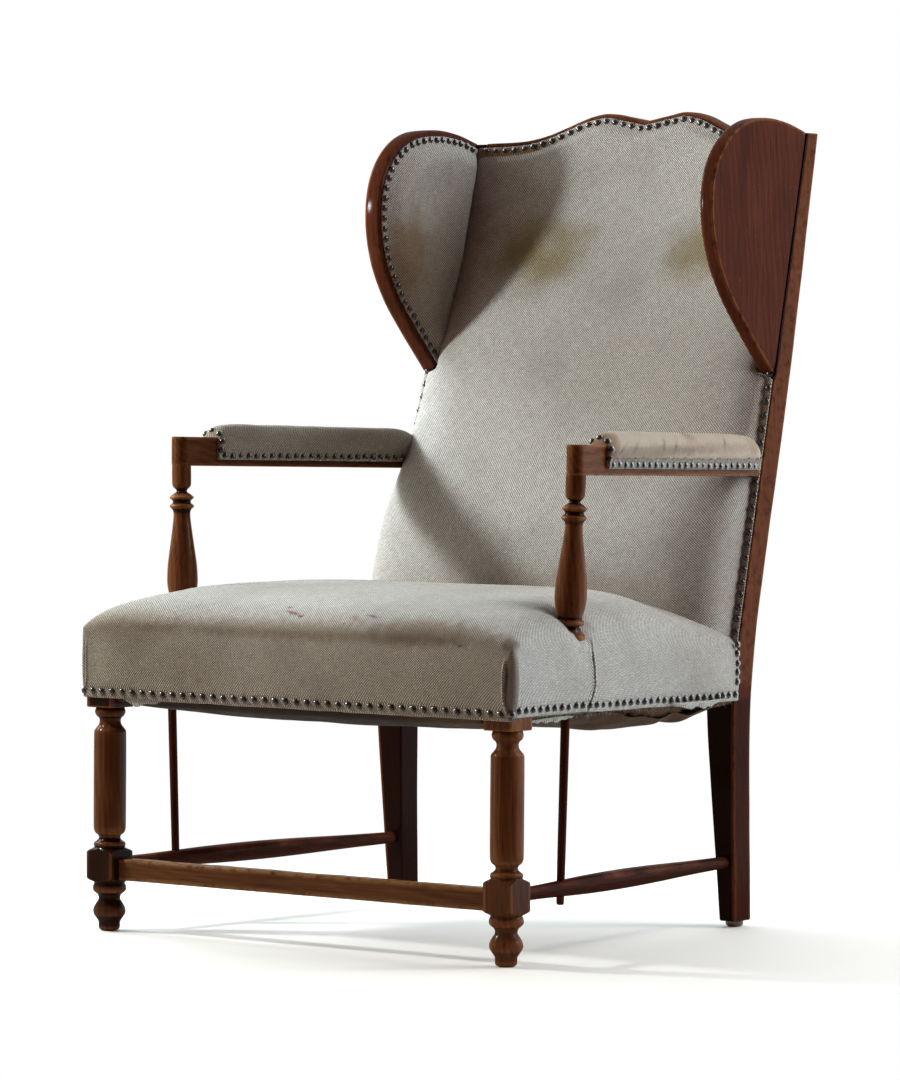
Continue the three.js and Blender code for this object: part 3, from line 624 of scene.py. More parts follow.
ARM_POST_FOOT = (320.5, -158.8, 352.0)
ARM_POST_TOP = (329.3, -154.0, 621.5)
ARM_POST_PROFILE = [
    (44, 20), (48, 18.6), (51, 14.5), (53.6, 10.6), (56, 9.2), (57.4, 19.4), (59, 20.8), (62, 21.4),
    (64, 20.2), (67.5, 17.0), (73.0, 13.4), (75.4, 13.2), (76.4, 16.8), (77.6, 18.6), (79.6, 19.4),
    (82, 18.0), (84.5, 15.7), (88, 16.2), (97, 18.8), (108, 20.6), (115, 20.9), (134, 20), (157, 17),
    (182, 13.6), (197, 11.8), (206, 11.5), (210.5, 13.2), (212.6, 15.6), (214.9, 16.6), (217.2, 15.0),
    (218.8, 12.6), (222.4, 12.6), (224.4, 15.2), (226.6, 16.6), (228.8, 14.6), (231.4, 11.5),
    (234, 7.6), (236.5, 7.3), (238.8, 9.6), (242, 12.2), (247, 13), (269.0, 13), (271.0, 12.6),
]


def arm_post(side):
    start, end = place_on_side(side, ARM_POST_FOOT), place_on_side(side, ARM_POST_TOP)
    shape, wear = turned(start, end, ARM_POST_PROFILE, 44, 1.1)
    # Painted shade: the left post is darker.
    wear -= 0.22 if side == "left" else 0.0
    make_sided_wood("arm_post_turned", side, shape, wear, "z", 5, "arm_post", TURNED_WOOD, 34)


STRETCHER_Z = 89.0


def side_stretcher(side):
    start, end = (LEG_X, LEG_Y + BLOCK + 0.3, STRETCHER_Z), (284.0, 263.6, STRETCHER_Z)
    girth = [(0, 8.6), (0.12, 9.6), (0.3, 12.2), (0.46, 13.1), (0.62, 12.2), (0.82, 9.6), (1, 8)]
    profile = [(part * math.dist(start, end), radius) for part, radius in girth]
    shape, _ = turned(place_on_side(side, start), place_on_side(side, end), profile, 28, 12)
    # The top is rubbed lighter; painted shade darkens the whole stretcher under the seat.
    rubbed = smooth(ripple(shape[0], 45, 5) + 0.35) * (shape[0][:, 2] > STRETCHER_Z + 3) - 0.42
    make_sided_wood("side_stretcher_turned", side, shape, rubbed, "y", 7, "side_stretcher")


def lower_spindle(side):
    low, high = (321.2, -171.0, 68.0), (329.5, -173.0, 337.0)
    length = math.dist(low, high)
    profile = [(0, 3.6), (0.8, 4.6), (3, 5.1), (length * 0.5, 5.6), (length, 6)]
    shape, wear = turned(place_on_side(side, low), place_on_side(side, high), profile, 20, 10)
    # Painted shade: the spindle under the seat is darkened.
    make_sided_wood("lower_spindle_rod", side, shape, wear - 0.35, "z", 9, "lower_spindle")


BAR_FRONT, BAR_BACK, BAR_BOTTOM, BAR_TOP = -307, -284, 69, 98


def front_stretcher():
    end = LEG_X - BLOCK - 0.2
    rings, wear = [], []
    for x in np.concatenate([[-end, -end + 1], np.linspace(-end + 12, end - 12, 60), [end - 1, end]]):
        flat, edge = rounded_rectangle(BAR_FRONT, BAR_BACK, BAR_BOTTOM, BAR_TOP, 2.8, 5)
        rings.append(stack(x, *flat.T))
        wear.append(edge)
    points, faces = loft(rings)
    top = points[:, 2] > BAR_TOP - 8
    points[:, 2] += np.where(top, -0.9 * np.abs(ripple(points, 70, 2)), 0.25 * ripple(points, 40, 3))
    wear = np.maximum(np.concatenate(wear), smooth((points[:, 2] - BAR_TOP + 5) / 4) * 0.9)
    make_wood("front_stretcher_bar", (points, faces), wear, "x", 11, "front_stretcher", WORN_WOOD)


# The arm: a tall block with a round nose in front, then a low bar that runs back to the post.
ARM_Y, ARM_BACK_Y = -154.0, 313.0
ARM_X, ARM_BACK_X = 329.3, 291.0
ARM_BOTTOM, ARM_FALL = 621.5, 9.0
ARM_HALF = 13.0
ARM_BLOCK, ARM_BAR = 39.5, 18.0
ARM_BLOCK_END = -98.0


def arm_middle(y):
    return ARM_X + (ARM_BACK_X - ARM_X) * (y - ARM_Y) / (ARM_BACK_Y - ARM_Y)


def arm_under(y):
    return ARM_BOTTOM - ARM_FALL * (y - ARM_Y) / (ARM_BACK_Y - ARM_Y)


def arm_rail(side):
    nose = [(ARM_Y - ARM_HALF * math.cos(a), ARM_BLOCK) for a in np.linspace(0.12, math.pi / 2, 12)]
    block = [(y, ARM_BLOCK) for y in (-146, -130, -114, ARM_BLOCK_END - 0.6)]
    bar = [(y, ARM_BAR) for y in np.concatenate([[ARM_BLOCK_END], np.linspace(-90, ARM_BACK_Y - 3, 40)])]
    rings, wear = [], []
    for y, height in nose + block + bar:
        half = ARM_HALF if y > ARM_Y else math.sqrt(max(1.0, ARM_HALF**2 - (y - ARM_Y) ** 2))
        flat, edge = rounded_rectangle(-half, half, 0, height, min(1.8, half * 0.45), 3)
        rings.append(stack(arm_middle(y) + flat[:, 0], y, arm_under(y) + flat[:, 1]))
        wear.append(edge)
    # Painted shade: the rail is darkened a little, the left one more.
    wear = np.concatenate(wear) - (0.34 if side == "left" else 0.08)
    shape = on_side(side, loft(rings))
    make_sided_wood("arm_rail_shaped", side, shape, wear, "y", 13, "arm_rail", TURNED_WOOD)


WING_THICK = 22.0
WING_TIP = 750.0
WING_EDGE = [
    (350, 751), (323, 777), (286, 815), (250, 856), (221, 905), (207, 962), (213, 1018), (240, 1060),
    (285, 1088), (340, 1096.5), (392, 1092), (437, 1081),
]


def wing_outline(side, inset, count=90, rear_gap=2.0):
    """Closed outline of a wing board in the YZ plane: the curved edge, then down along the post."""
    y, z, _ = along_curve(WING_EDGE, count)
    dy, dz = np.gradient(y), np.gradient(z)
    size = np.hypot(dy, dz)
    y, z = y + inset * dz / size, z - inset * dy / size
    to_rear = smooth((y - 240) / 90) * smooth((z - 1000) / 60)
    z = z + (3.5 if side == "right" else -3.0) * to_rear
    y = y - (3.5 * smooth((340 - y) / 80) if side == "left" else 0.0)
    ahead = np.flatnonzero(y < post_front(z) - rear_gap - inset * 0.5)
    kept = np.linspace(ahead[0], ahead[-1], count)
    y, z = np.interp(kept, np.arange(count), y), np.interp(kept, np.arange(count), z)
    z_rear = np.linspace(z[-1], z[0], 26)[1:-1]
    y_rear = post_front(z_rear) - rear_gap - inset * 0.5
    return np.concatenate([y, y_rear]), np.concatenate([z, z_rear])


# Sections of the board's edge: depth from the outer face, inset from the outline, and rubbing.
WING_SECTION = [
    (0, 14, 0), (0, 6, 0), (0, 2.0, 0.9), (0.35, 0.9, 1.0), (1.2, 0.25, 0.9), (5, 0, 0.2),
    (14, 0, 0.15), (18, 0.5, 0.35), (20.6, 1.7, 0.6), (22, 4, 0.1),
]


def wing_board(side):
    rings, wear = [], []
    for depth, inset, rub in WING_SECTION:
        y, z = wing_outline(side, inset)
        rings.append(stack(post_outer(z) - depth, y, z))
        wear.append(np.full(len(y), rub))
    shape = loft(rings)
    _, y, z = shape[0].T
    wear = np.where(y > post_front(z) - 4.5, IN_JOINT, np.concatenate(wear))
    shape = on_side(side, shape)
    make_sided_wood("wing_board_shaped", side, shape, wear, "z", 15, "wing_board", RED_WOOD, 50)


CREST_TOP = [
    (0, 1106), (35, 1112.5), (67, 1117.5), (98, 1112), (130, 1099.5), (160, 1088), (195, 1080),
    (256, 1077),
]
CREST_BOTTOM, CREST_THICK, CREST_HALF = 1036.0, 22.0, 255.2
BACK_BOW = 26.0


def crest_top(x):
    return curve_at(CREST_TOP, np.abs(x))


def back_bow(x):
    return BACK_BOW * np.maximum(0.0, 1 - (np.asarray(x) / 252) ** 2)


def back_plane(x, z):
    """Front plane of the back frame, bowed back towards the crest rail."""
    return post_front(z) + back_bow(x) * smooth((np.asarray(z) - 800) / 260)


def crest_rail():
    rings, wear = [], []
    for x in np.linspace(-CREST_HALF, CREST_HALF, 110):
        flat, edge = rounded_rectangle(0, CREST_THICK, CREST_BOTTOM, float(crest_top(x)), 2.6, 5)
        depth, z = flat.T
        rings.append(stack(x, post_front(z) + back_bow(x) + 0.4 + depth, z))
        wear.append(edge * 0.9)
    make_wood("crest_rail_shaped", loft(rings), np.concatenate(wear), "x", 17, "crest_rail")


def rear_glide(side):
    low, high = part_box(f"rear_glide_{side}")
    x, y = (low.x + high.x) / 2 / MM, ((low.y + high.y) / 2 - SHIFT_Y) / MM
    profile = [(0, 7.5), (0.4, 8.6), (1.6, 11), (4.2, 12.2), (7.6, 12.4)]
    shape, _ = turned((x, y, 0), (x, y, 8), profile, 24, 1)
    make(f"rear_glide_dome_{side}", shape, BRONZE, "glide_steel", [f"rear_glide_{side}"])


# ---- cloth pieces, their stains, and their painted shade and light ----------------------------
def make_cloth(name, shape, cloth, tints, nodes=(), material=BACK_CLOTH, slot="cover_cloth", thick=1.8):
    """A piece of cloth, with its places on the flat cloth in millimetres and its tints."""
    return make(name, shape, material, slot, nodes, 75, False, thick, cloth=cloth * MM, stain=tints)


def tint(tints, share, colour):
    """Multiplies a colour into the tints, by each point's share."""
    tints[:, :3] *= 1 - share[:, None] * (1 - np.array(colour))


def stained(points, stains=()):
    """Tints for cloth with soft ragged patches, each a row of a table: stains, and in some tables painted
    shade and painted light.

    A row holds the patch's middle and size in millimetres, its colour, strength, seed and softness.
    """
    tints = np.ones((len(points), 4))
    for middle, size, colour, strength, seed, soft in stains:
        reach = np.linalg.norm((points - np.array(middle)) / np.array(size), axis=1)
        reach += 0.35 * ripple(points, min(size) * 0.7, seed)
        tint(tints, strength * smooth((1 + 0.5 * soft - reach) / soft), colour)
    return tints


SEAT_STAINS = [
    ((20, -322, 416), (330, 18, 12), (0.60, 0.49, 0.39), 0.85, 1, 1.1),
    ((-270, -318, 408), (80, 30, 22), (0.70, 0.59, 0.47), 0.55, 2, 1.2),
    ((215, -318, 420), (90, 28, 17), (0.52, 0.41, 0.32), 0.9, 3, 1.0),
    ((-290, -325, 370), (120, 34, 80), (0.76, 0.72, 0.64), 0.8, 10, 1.4),
    ((350, -324, 414), (11, 14, 13), (0.40, 0.27, 0.20), 0.8, 4, 1.0),
    ((-150, -333, 360), (45, 20, 30), (0.80, 0.72, 0.62), 0.35, 5, 1.0),
    ((150, -30, 466), (110, 130, 20), (0.80, 0.76, 0.70), 0.30, 6, 1.4),
    ((-260, -230, 430), (170, 170, 90), (0.74, 0.72, 0.69), 0.8, 9, 1.4),
    ((355, -80, 372), (30, 70, 22), (0.86, 0.84, 0.82), 0.35, 7, 1.4),
    ((350, 170, 370), (50, 130, 90), (0.78, 0.76, 0.74), 0.85, 17, 1.4),
    ((40, -180, 460), (300, 110, 40), (0.88, 0.87, 0.85), 0.8, 18, 1.3),
    ((318, -150, 432), (30, 34, 20), (0.56, 0.49, 0.43), 0.5, 8, 1.2),
]
BACK_STAINS_AND_PAINTED_LIGHT = [
    ((-122, 335, 926), (84, 90, 54), (0.52, 0.42, 0.19), 0.95, 11, 1.2),
    ((146, 335, 926), (50, 90, 42), (0.52, 0.42, 0.19), 0.95, 12, 1.2),
    # Painted shade with some soil: warm darkening where the back meets the seat.
    ((40, 190, 450), (260, 90, 34), (0.74, 0.65, 0.54), 0.6, 13, 1.3),
    ((60, 270, 690), (220, 90, 120), (0.88, 0.84, 0.78), 0.4, 14, 1.3),
    # Painted shade: a dark strip beside the left wing.
    ((-245, 330, 940), (34, 90, 150), (0.60, 0.53, 0.45), 0.7, 15, 1.3),
    # Painted light: a brighter patch at the left edge of the back.
    ((-280, 230, 700), (60, 140, 100), (1.30, 1.34, 1.40), 1.0, 16, 1.3),
]
WING_STAINS_AND_PAINTED_SHADE = {
    "right": [((265, 300, 850), (60, 60, 80), (0.78, 0.70, 0.62), 0.6, 23, 1.2)],
    "left": [
        ((-265, 262, 912), (60, 40, 50), (0.58, 0.40, 0.26), 0.80, 21, 1.3),
        # Painted shade: the lower rear part of the left wing's pad is darkened.
        ((-265, 320, 860), (60, 90, 95), (0.74, 0.62, 0.50), 0.8, 22, 1.3),
    ],
}
ARM_STAINS = {
    "right": [
        ((335, -92, 668), (26, 16, 22), (0.62, 0.45, 0.31), 0.85, 31, 0.9),
        ((322, 118, 670), (26, 16, 12), (0.70, 0.60, 0.52), 0.6, 32, 0.9),
        ((330, -20, 650), (26, 170, 7), (0.52, 0.46, 0.43), 0.75, 35, 0.9),
        ((330, 200, 652), (26, 120, 8), (0.66, 0.60, 0.56), 0.6, 36, 0.9),
        ((330, 285, 664), (26, 22, 26), (0.66, 0.55, 0.42), 0.6, 37, 0.9),
    ],
    "left": [
        ((-320, -60, 672), (40, 60, 20), (0.70, 0.62, 0.54), 0.6, 33, 1.0),
        ((-300, 200, 672), (40, 80, 20), (0.80, 0.72, 0.64), 0.5, 34, 1.0),
    ],
}
BASE_STAINS = [((40, 30, 280), (160, 120, 40), (0.6, 0.6, 0.6), 0.6, 42, 1.0)]
OUTSIDE_STAINS = [
    ((-120, 400, 820), (120, 60, 160), (0.82, 0.77, 0.70), 0.4, 51, 1.4),
    ((60, 300, 380), (230, 60, 60), (0.72, 0.64, 0.54), 0.6, 52, 1.4),
]
# Small marks on the seat: place, size along and across in millimetres, turn in degrees, colour, strength.
SEAT_MARKS = [
    ((-8, -306, 433), (22, 5.0), 16, (0.13, 0.028, 0.024), 1.0),
    ((8, -312, 431), (8, 5), 0, (0.11, 0.018, 0.022), 1.0),
    ((-22, -300, 436), (9, 3.4), 0, (0.16, 0.050, 0.042), 0.9),
    ((96, -312, 430), (17, 9), 20, (0.22, 0.095, 0.080), 0.75),
    ((122, -306, 434), (17, 3.8), 12, (0.11, 0.036, 0.032), 0.95),
    ((84, -318, 426), (4, 3), 0, (0.15, 0.070, 0.060), 0.7),
    ((222, -322, 417), (18, 8), -25, (0.090, 0.076, 0.066), 0.55),
    ((277, -333, 408), (9, 2.6), -12, (0.035, 0.028, 0.026), 0.95),
    ((-154, -332, 378), (9, 5), 10, (0.110, 0.075, 0.052), 0.55),
    ((-152, -332, 343), (8, 9), 0, (0.115, 0.078, 0.054), 0.60),
    ((102, -300, 441), (4, 3), 0, (0.120, 0.070, 0.050), 0.70),
    ((-166, -278, 455), (4, 3), 0, (0.120, 0.085, 0.065), 0.60),
    ((-262, -322, 420), (34, 9), 4, (0.170, 0.130, 0.092), 0.45),
    ((352, -190, 360), (1.6, 34), 2, (0.16, 0.13, 0.11), 0.5),
]

# ---- seat cover -----------------------------------------------------------------------------
SEAT_FRONT, SEAT_REAR = -328.0, 249.0
SEAT_HALF_FRONT, SEAT_HALF_REAR = 357.5, 314.0
SEAT_BOTTOM = 314.0
SEAT_NAIL_RISE = 9.3
SEAT_CROWN = [
    (-328, 432), (-300, 446), (-250, 457), (-165, 466), (0, 467), (170, 458), (249, 450),
]
SEAT_EDGE = [(-328, 419), (-150, 424), (0, 417), (170, 401), (249, 394)]
ROLL_WIDE, ROLL_TALL = 34.0, 24.0
POST_HOLE_X, POST_HOLE_Y = 325, -158
SLIT_Y, SLIT_TOP = -138.0, 410
CORNER = 8.0
FOLD_X = 347.0


def seat_half(y):
    share = (y - SEAT_FRONT) / (SEAT_REAR - SEAT_FRONT)
    return SEAT_HALF_FRONT + (SEAT_HALF_REAR - SEAT_HALF_FRONT) * share


def seat_top(x, y):
    """Height of the seat: a crown that falls to the sides, a rolled edge, a pull round each arm post."""
    across_x, x = x, np.abs(x)
    across = np.clip(x / seat_half(y), 0, 1)
    fullness = 8 - 5 * smooth(y / 170)
    edge = curve_at(SEAT_EDGE, y)
    crown = edge + (curve_at(SEAT_CROWN, y) - edge) * (1 - across**fullness)
    side, front = seat_half(y) - x, y - SEAT_FRONT
    near = 1 / np.hypot(1 / np.maximum(side, 0.01), 1 / np.maximum(front, 0.01))
    inward = np.clip(near, 0, ROLL_WIDE)
    z = crown - ROLL_TALL + ROLL_TALL * np.sqrt(1 - (1 - inward / ROLL_WIDE) ** 2)
    corner = bell((across_x + 345) / 34) * bell((y + 318) / 60)
    fall = smooth((-across_x - 270) / 60) * smooth((y + 190) / 80)
    post = np.hypot(x - POST_HOLE_X, y - POST_HOLE_Y)
    return z + 4.5 * corner - 2.5 * fall - 13 * bell(post / 25)


def steps(a, b, step):
    return np.linspace(a, b, max(2, round(abs(b - a) / step)))


def seat_outline():
    """Points round the seat with their outward normals, anticlockwise from the left end of the front."""
    beside_slit = np.array([0.5, 1.0, 1.6, 2.4, 3.4, 5, 7])
    slit = SLIT_Y + np.concatenate([-beside_slit[::-1], [0], beside_slit])
    ahead = [steps(SEAT_FRONT + CORNER + 1, -292, 1.6), steps(-288, SLIT_Y - 10, 4)]
    side_y = np.concatenate([*ahead, slit, steps(SLIT_Y + 10, SEAT_REAR, 4.5)])
    lean = math.atan2(SEAT_HALF_REAR - SEAT_HALF_FRONT, SEAT_REAR - SEAT_FRONT)
    start = SEAT_HALF_FRONT - CORNER
    half_front = np.concatenate([steps(0, 330, 4), steps(332, start, 1.1)])
    front = [(x, SEAT_FRONT, 0, -1) for x in np.concatenate([-half_front[:0:-1], half_front])]
    turns = np.linspace(-math.pi / 2, -lean, 14)[1:-1]
    centre_y = SEAT_FRONT + CORNER
    arc = [(start + CORNER * math.cos(a), centre_y + CORNER * math.sin(a), math.cos(a), math.sin(a))
           for a in turns]
    right = [(seat_half(y), y, math.cos(lean), -math.sin(lean)) for y in side_y]
    rear = [(x, SEAT_REAR, 0, 1) for x in np.linspace(SEAT_HALF_REAR - 4, -SEAT_HALF_REAR + 4, 40)]
    left = [(-x, y, -nx, ny) for x, y, nx, ny in reversed(arc + right)]
    return np.array(front + arc + right + rear + left, float)


def seat_bottom(outline):
    """Lower edge of the cover: nearly level, a little uneven."""
    x, y, nx, _ = outline.T
    side_lift = np.where(np.abs(nx) > 0.8, 4 - 7 * smooth((y + 320) / 560), 0)
    return SEAT_BOTTOM + side_lift + 0.8 * ripple(stack(x, y, 0), 40, 8)


def wall_bulge(outline, part):
    """How far the walls stand out, from their lower edge (0) to their top (1)."""
    x, y = outline[:, 0], outline[:, 1]
    fullness = np.where(x > 0, 6.0, 6.0 - 4.0 * smooth((-x - 300) / 50))
    fullness = fullness * (0.12 + 0.88 * smooth((SEAT_REAR - y) / 70))
    return fullness * np.sin(math.pi * np.clip(part, 0, 1) * 0.86) ** 0.9


def past_fold(x, y, z):
    """Distance round the front corner from the ridge of the pleat, which leans at its foot."""
    return x - FOLD_X - 4.0 * smooth((342 - z) / 22) + np.maximum(y - SEAT_FRONT, 0)


def fold_shape(outline, part, z):
    """The pleat at each front corner: a folded ridge on the front, and a fading hollow behind it."""
    x, y = outline[:, 0], outline[:, 1]
    past = past_fold(np.abs(x), y, z)
    tall = smooth((part - 0.02) * 9) * smooth((0.93 - part) * 5)
    deep = 1.4 + 5.0 * smooth((part - 0.25) / 0.5)
    hollow = deep * smooth((past - 0.8) / 2.2) * np.exp(-np.maximum(past - 2.8, 0) / (0.8 + 6 * part**2))
    return (3.4 * bell(past / 1.4) - hollow) * tall * np.where(x > 0, 1.0, 0.35)


def slit_sway(z):
    return 1.1 * np.sin(z / 9.0) - 6 * smooth((348 - z) / 34)


def slit_shape(outline, part, z):
    """The cut down each side, a little jagged, with its edges curled outwards."""
    _, y, nx, _ = outline.T
    away = np.abs(y - SLIT_Y - slit_sway(z) - 0.6 * np.sin(z / 3.7 + 1)) + 1e3 * (np.abs(nx) < 0.8)
    return (1.3 * bell((away - 3.0) / 1.6) - 5.0 * bell(away / 1.3)) * smooth((0.98 - part) * 18)


def seat_wall_rings(outline, top, bottom):
    x, y, nx, ny = outline.T
    rings = [stack(x - nx * tuck, y - ny * tuck, bottom + lift)
             for tuck, lift in ((14, 0.5), (3, -0.4), (0.6, 0.2), (0, 1.6))]
    for part in np.concatenate([np.linspace(0.035, 0.18, 8), np.linspace(0.22, 1.0, 24)]):
        z = bottom + (top - bottom) * part
        out = wall_bulge(outline, part) - 1.3 * bell((z - bottom - SEAT_NAIL_RISE) / 4.5)
        out = out + 0.9 * ripple(stack(x, y, z * 0.4), 55, 2) * smooth(part * 4)
        out = out + fold_shape(outline, part, z) + slit_shape(outline, part, z)
        rings.append(stack(x + nx * out, y + ny * out, z))
    return rings


# How far in from the outline towards the middle of the seat each ring of its top lies.
TOP_SHARES = [
    0.002, 0.005, 0.009, 0.014, 0.020, 0.028, 0.037, 0.047, 0.059, 0.073, 0.089, 0.11, 0.135, 0.165,
    0.20, 0.24, 0.285, 0.335, 0.39, 0.45, 0.52, 0.60, 0.69, 0.79, 0.89, 0.98,
]


def seat_top_rings(outline):
    x, y, nx, ny = outline.T
    middle_y = -40.0
    rings = []
    for share in TOP_SHARES:
        px, py = x - x * share, y + (middle_y - y) * share
        pz = seat_top(px, py) + 1.1 * ripple(stack(px, py, 0), 70, 5) * smooth(share * 14)
        from_x, from_y = np.abs(px) - POST_HOLE_X, py - POST_HOLE_Y
        pull = bell(np.hypot(from_x, from_y) / 60)
        pz = pz + 1.3 * pull * np.sin(np.arctan2(from_y, from_x) * 7 + px * 0.02)
        crease = bell((py + 146 - (np.abs(px) - 335) * 0.5) / 1.6) * smooth((np.abs(px) - 334) / 8)
        out = wall_bulge(outline, 1.0) * (1 - smooth(share / 0.10))
        rings.append(stack(px + nx * out, py + ny * out, pz - 1.8 * crease))
    return rings


def cloth_coordinates(rings, outline):
    """Places on the flat cloth: plan positions, spread outwards by the length that the slope takes up."""
    steps_out = np.linalg.norm(np.diff(rings, axis=0), axis=2)
    plan = np.linalg.norm(np.diff(rings[:, :, :2], axis=0), axis=2)
    extra = np.concatenate([np.zeros((1, rings.shape[1])), np.cumsum((steps_out - plan)[::-1], 0)])[::-1]
    cloth = np.zeros_like(rings)
    cloth[:, :, :2] = rings[:, :, :2] + outline[None, :, 2:] * extra[:, :, None]
    return cloth.reshape(-1, 3)


def seat_tints(points):
    """Stains, a front darkened by soil and painted shade, painted shade in the slits, and painted
    highlights on the slits' edges and the pleat's ridge.
    """
    x, y, z = points.T
    tints = stained(points, SEAT_STAINS)
    # The front face darkened: partly soil, partly painted shade.
    tint(tints, smooth((-318 - y) / 12) * smooth((425 - z) / 14), (0.67, 0.60, 0.52))
    away = np.abs(y - SLIT_Y - slit_sway(z))
    on_slit = (np.abs(x) > 332) & (z < SLIT_TOP)
    # Painted shade inside each slit, and a painted highlight on its curled edges.
    slit, slit_edge_highlight = bell(away / 1.5) * on_slit, bell((away - 3.6) / 1.2) * on_slit
    # Painted highlight along the ridge of the pleat.
    ridge = bell(past_fold(x, y, z) / 1.3) * (y < -310) * smooth((400 - z) / 12)
    for share, change in ((slit, -0.8), (slit_edge_highlight, 0.25), (ridge, 0.60)):
        tints[:, :3] *= 1 + change * share[:, None]
    return tints


def seat_cover():
    outline = seat_outline()
    top, bottom = seat_top(outline[:, 0] * 0.9999, outline[:, 1]), seat_bottom(outline)
    rings = np.array(seat_wall_rings(outline, top, bottom) + seat_top_rings(outline))
    shape = loft(rings, caps=(False, True))
    cloth = cloth_coordinates(rings, outline)
    marks = []
    for place, *look in SEAT_MARKS:
        nearest = np.argmin(np.linalg.norm(shape[0] - np.array(place), axis=1))
        marks.append((cloth[nearest] * MM, *look))
    material = cover_cloth("seat_basket_weave", CREAM, GROUND, marks)
    piece = make_cloth("seat_cover_cloth", shape, cloth, seat_tints(shape[0]),
                       ["seat_cover", "seat_stuffing"], material, "cover_cloth", 2.0)
    return outline, top, bottom


# ---- back cover -----------------------------------------------------------------------------
BACK_LOFT = [
    (380, 80), (398, 84), (455, 94), (534, 96), (573, 85), (615, 68), (674, 46), (750, 32), (900, 22),
    (1030, 12), (1115, 6),
]
HEM = 2.6
BACK_FOOT, BACK_SHOULDER = 384.0, 1000.0
BACK_COLUMNS = 131


def back_reach(z):
    """Half the width of the back cover: to the posts' outer edges, and between the wing boards above."""
    return post_outer(z) - 2.5 - 24.0 * smooth((z - (WING_TIP - 4)) / 10)


def back_pad(x, z):
    """How far the back cover stands in front of the back's plane."""
    hem = 10.5 * (1 - smooth((z - (WING_TIP - 6)) / 12))
    half = back_reach(z) - hem
    across = np.clip(np.abs(x) / half, 0, 1)
    under_crest = smooth((crest_top(x) - 13 - z) / 16)
    full = np.maximum(0, curve_at(BACK_LOFT, z) - HEM) * under_crest
    return HEM + full * np.power(1 - across**6, 1 / 2.7)


def back_row(spread, level, part):
    """One row of the back cover: level below the shoulder, then rising by parts to the crest's outline."""
    x = spread * back_reach(level)
    z = level + (crest_top(x) - 6 - level) * part
    offset = back_pad(x, z)
    puffed = smooth((offset - 6) / 20)
    offset = offset + (1.3 * ripple(stack(x, z, 0), 95, 3) + 0.5 * ripple(stack(x, z, 0), 38, 4)) * puffed
    scallop = 0.7 * np.cos(z * 2 * math.pi / 15.0) * bell((np.abs(x) - back_reach(z) + 15) / 5)
    offset = offset + scallop * (z < WING_TIP)
    return stack(x, back_plane(x, z) - offset, z)


def back_cover():
    even = np.linspace(-1, 1, BACK_COLUMNS)
    spread = np.sin(even * math.pi / 2) * 0.55 + even * 0.45
    rows = [back_row(spread, level, 0.0) for level in np.arange(BACK_FOOT, BACK_SHOULDER, 5.0)]
    rows += [back_row(spread, BACK_SHOULDER, part) for part in np.linspace(0, 1, 40)]
    points, faces = grid(rows)
    from_middle = np.array([path_lengths(row) for row in rows])
    from_middle -= from_middle[:, BACK_COLUMNS // 2, None]
    cloth = stack(from_middle.ravel(), points[:, 2], 0)
    piece = make_cloth("back_cover_cloth", (points, faces), cloth, stained(points, BACK_STAINS_AND_PAINTED_LIGHT),
                       ["back_cover", "back_stuffing"])


# ---- wing covers ----------------------------------------------------------------------------
WING_RIM = 9.0
WING_CENTRE = (325.0, 975.0)


def wing_cover(side):
    """A flat nailed rim, a rounded shoulder, and a pad that is fullest where it meets the back."""
    rings = []
    for inset, lift in ((0.0, 0.3), (0.2, 1.8), (3, 2.4), (8.0, 2.6)):
        y, z = wing_outline(side, WING_RIM + inset, 130, -4.0)
        rings.append(stack(post_outer(z) - WING_THICK - lift, y, z))
    _, rim_y, rim_z = rings[-1].T
    to_y, to_z = WING_CENTRE[0] - rim_y, WING_CENTRE[1] - rim_z
    for k in np.concatenate([[0.012, 0.03, 0.06, 0.10], np.linspace(0.14, 0.98, 26)]):
        y, z, inward = rim_y + to_y * k, rim_z + to_z * k, np.hypot(to_y, to_z) * k
        shoulder = 2.6 + 10.5 * np.sqrt(smooth(inward / 34))
        rear = smooth((y - post_front(z) + 95) / 80) * bell((z - 945) / 100)
        x = post_outer(z) - WING_THICK - shoulder - 15 * rear * smooth(inward / 22)
        rings.append(stack(x, y, z))
    points, faces = loft(rings, caps=(False, True))
    puffed = smooth((post_outer(points[:, 2]) - WING_THICK - points[:, 0] - 4) / 8)
    points[:, 0] -= 0.8 * ripple(points * (0, 1, 1), 45, 6 + (side == "left")) * puffed
    points, faces = on_side(side, (points, faces))
    piece = make_cloth(f"wing_cover_cloth_{side}", (points, faces), points[:, (1, 2, 0)] * (1, 1, 0),
                       stained(points, WING_STAINS_AND_PAINTED_SHADE[side]), [f"wing_cover_{side}", f"wing_stuffing_{side}"])


# ---- arm pads -------------------------------------------------------------------------------
PAD_LIFT = 9.0
PAD_STRETCHES = ((0, 0.07, 16), (0.08, 0.88, 70), (0.89, 1, 18))
PAD_FRONT, PAD_REAR = ARM_BLOCK_END + 1.0, 306.0
PAD_SECTION = [
    (15.0, 0), (15.3, 4), (15.6, 9), (17.4, 13), (19.1, 17), (19.6, 23), (18.9, 29.4), (16.4, 36.2),
    (12.4, 41.8), (7.0, 45.8), (0, 47.2),
]
# Places along the pad from its front (0) to its rear (1), with the pad's fullness there.
PAD_FULLNESS = [
    (0, 0.62), (0.005, 0.74), (0.015, 0.83), (0.035, 0.92), (0.07, 0.975), (0.12, 1.0), (0.3, 0.99),
    (0.6, 0.97), (0.9, 0.95), (0.95, 0.90), (0.98, 0.79), (0.993, 0.66), (1.0, 0.5),
]
